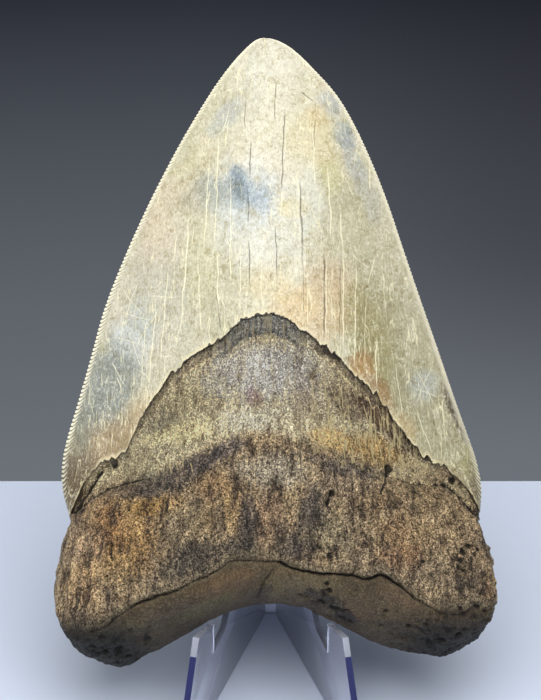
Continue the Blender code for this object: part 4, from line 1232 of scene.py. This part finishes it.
wings = []
for name, side in (("easel", -1), ("easel_wing", 1)):
    wing = moulded_plate(name, wing_outline, SHEET)
    wing.rotation_euler.z = math.pi / 2 + side * WING_SPLAY
    wing.location = ((EASEL_SHIFT + side * FOOT_ACROSS) * MM, (-FOOT_AHEAD - FOOTPRINT_MIDDLE) * MM, 0.0)
    bpy.ops.object.transform_apply(location=True, rotation=True)
    wings.append(wing)
half = SPINE_GAP / 2 + SHEET / 2
spine_outline = [(-half, 0.0), (half, 0.0), (half, REST_TOP), (-half, REST_TOP)]
spine = moulded_plate("easel_spine", spine_outline, SPINE_SHEET)
spine_back = wing_reach * math.cos(WING_SPLAY) - FOOT_AHEAD - FOOTPRINT_MIDDLE
spine.location = (EASEL_SHIFT * MM, (spine_back + 0.03) * MM, 0.0)
bpy.ops.object.transform_apply(location=True)
easel = wings[0]
select_only(easel)
for other in (wings[1], spine):
    joint = easel.modifiers.new(other.name, "BOOLEAN")
    joint.operation = "UNION"
    joint.solver = "EXACT"
    joint.object = other
    bpy.ops.object.modifier_apply(modifier=joint.name)
    bpy.data.objects.remove(other)
rounding = easel.modifiers.new("polished_edges", "BEVEL")
rounding.width = EDGE_ROUNDING * MM
rounding.segments = 2
rounding.limit_method = "ANGLE"
rounding.angle_limit = math.radians(35)
bpy.ops.object.modifier_apply(modifier=rounding.name)
bpy.ops.object.shade_smooth_by_angle(angle=math.radians(30))

# The moulding is clear. Its narrow front edges and its feet are painted dark blue, a painted reflection of the
# dark surroundings seen edge-on through the sheet, and its lips are painted whitish, a painted highlight where
# their edges catch the light.
easel.data.materials.clear()
for name, tint, transmission, roughness in (
    ("clear_acrylic", (236, 239, 252), 0.84, 0.06),
    ("acrylic_edge_painted_reflection", (40, 45, 92), 0.1, 0.2),
    ("acrylic_lip_painted_highlight", (232, 235, 248), 0.68, 0.16),
):
    acrylic, tree, shader = new_material(name)
    shader.inputs["Base Color"].default_value = paint(*tint)
    shader.inputs["Transmission Weight"].default_value = transmission
    shader.inputs["IOR"].default_value = ACRYLIC_IOR
    shader.inputs["Roughness"].default_value = roughness
    easel.data.materials.append(acrylic)
CLEAR, BLUE, WHITE = range(3)

# Handling has left faint smears on the clear faces, and the plastic itself takes a little light.
tree = easel.data.materials[CLEAR].node_tree
solid = add_node(tree, "ShaderNodeTexCoord").outputs["Object"]
smears = ramp(tree, noise_of(tree, solid, 90.0, 3.0, 0.6), 0.45, 0.75, 0.02, 0.1)
tree.links.new(smears, tree.nodes["Principled BSDF"].inputs["Roughness"])
absorb = add_node(tree, "ShaderNodeVolumeAbsorption", {"Color": paint(160, 176, 230), "Density": 7.0})
tree.links.new(absorb.outputs[0], tree.nodes["Material Output"].inputs["Volume"])
for polygon in easel.data.polygons:
    side = math.copysign(1.0, polygon.center.x - EASEL_SHIFT * MM)
    across_sheet = Vector((math.cos(WING_SPLAY), side * math.sin(WING_SPLAY), 0.0))
    narrow = abs(polygon.normal.dot(across_sheet)) < 0.5
    ahead = abs(polygon.center.x / MM - EASEL_SHIFT) > FRONT_FROM
    up = polygon.center.z / MM
    front_edge = narrow and ahead and polygon.normal.y < -0.5 and up < BLUE_TO
    foot = polygon.normal.z < -0.9 and up < 1.0
    if front_edge or foot:
        polygon.material_index = BLUE
    if narrow and ahead and WHITE_FROM < up < WHITE_TO:
        polygon.material_index = WHITE
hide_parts("stand")
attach(easel, "root")

# ---- Floor, backdrop and lights ----
# A plain pale floor that ends a little behind the display, a plain grey backdrop beyond it, a lighter room in
# front, and three soft lamps: a broad one overhead, a fill on the left and a faint one on the right.
bpy.ops.object.select_all(action="DESELECT")
bpy.ops.mesh.primitive_plane_add(size=1.0, location=(0.0, -0.285, 0.0))
floor = bpy.context.object
floor.name = "floor"
floor.scale = (1.4, 0.75, 1.0)
bpy.ops.object.transform_apply(location=True, scale=True)
pale, tree, shader = new_material("pale_floor")
shader.inputs["Base Color"].default_value = paint(212, 222, 240)
shader.inputs["Roughness"].default_value = 0.6
floor.data.materials.append(pale)

world = bpy.data.worlds.new("grey_backdrop")
bpy.context.scene.world = world
world.use_nodes = True
tree = world.node_tree
direction = add_node(tree, "ShaderNodeTexCoord").outputs["Generated"]
across, away, rise = add_node(tree, "ShaderNodeSeparateXYZ", {0: direction}).outputs
sockets = {"Value": rise, "From Min": -0.47, "From Max": -0.235}
height = add_node(tree, "ShaderNodeMapRange", sockets).outputs[0]
backdrop = add_node(tree, "ShaderNodeValToRGB", {0: height})
shade = times(tree, ramp(tree, across, -0.05, 0.16, 0.0, 0.45), ramp(tree, height, 0.04, 0.5))
shade = blend_colour(tree, shade, backdrop.outputs[0], paint(28, 28, 32))
room = blend_colour(tree, ramp(tree, away, 0.55, 0.1, 0.0, 0.8), shade, paint(122, 127, 138))
tree.links.new(room, tree.nodes["Background"].inputs["Color"])
backdrop.color_ramp.elements[0].color = paint(108, 114, 120)
backdrop.color_ramp.elements[1].color = paint(38, 41, 50)
for height, tint in ((0.34, (95, 99, 106)), (0.65, (76, 80, 87))):
    backdrop.color_ramp.elements.new(height).color = paint(*tint)
tree.nodes["Background"].inputs["Strength"].default_value = 1.0

for name, place, aim, size, power, tint in (
    ("overhead_lamp", (0.08, -0.42, 0.96), (0.0, 0.0, 0.05), 1.1, 13.6, (1.0, 0.99, 0.97)),
    ("left_lamp", (-0.8, -0.45, 0.5), (0.0, 0.0, 0.02), 0.7, 3.4, (1.0, 0.99, 0.97)),
    ("right_lamp", (0.8, -0.6, 0.45), (0.0, 0.0, 0.02), 0.7, 0.7, (1.0, 0.99, 0.97)),
):
    bpy.ops.object.light_add(type="AREA", location=place)
    lamp = bpy.context.object
    lamp.name = name
    lamp.data.shape = "SQUARE"
    lamp.data.size = size
    lamp.data.energy = power
    lamp.data.color = tint
    lamp.rotation_euler = (Vector(aim) - Vector(place)).to_track_quat("-Z", "Y").to_euler()
bpy.context.scene.view_settings.view_transform = "Standard"
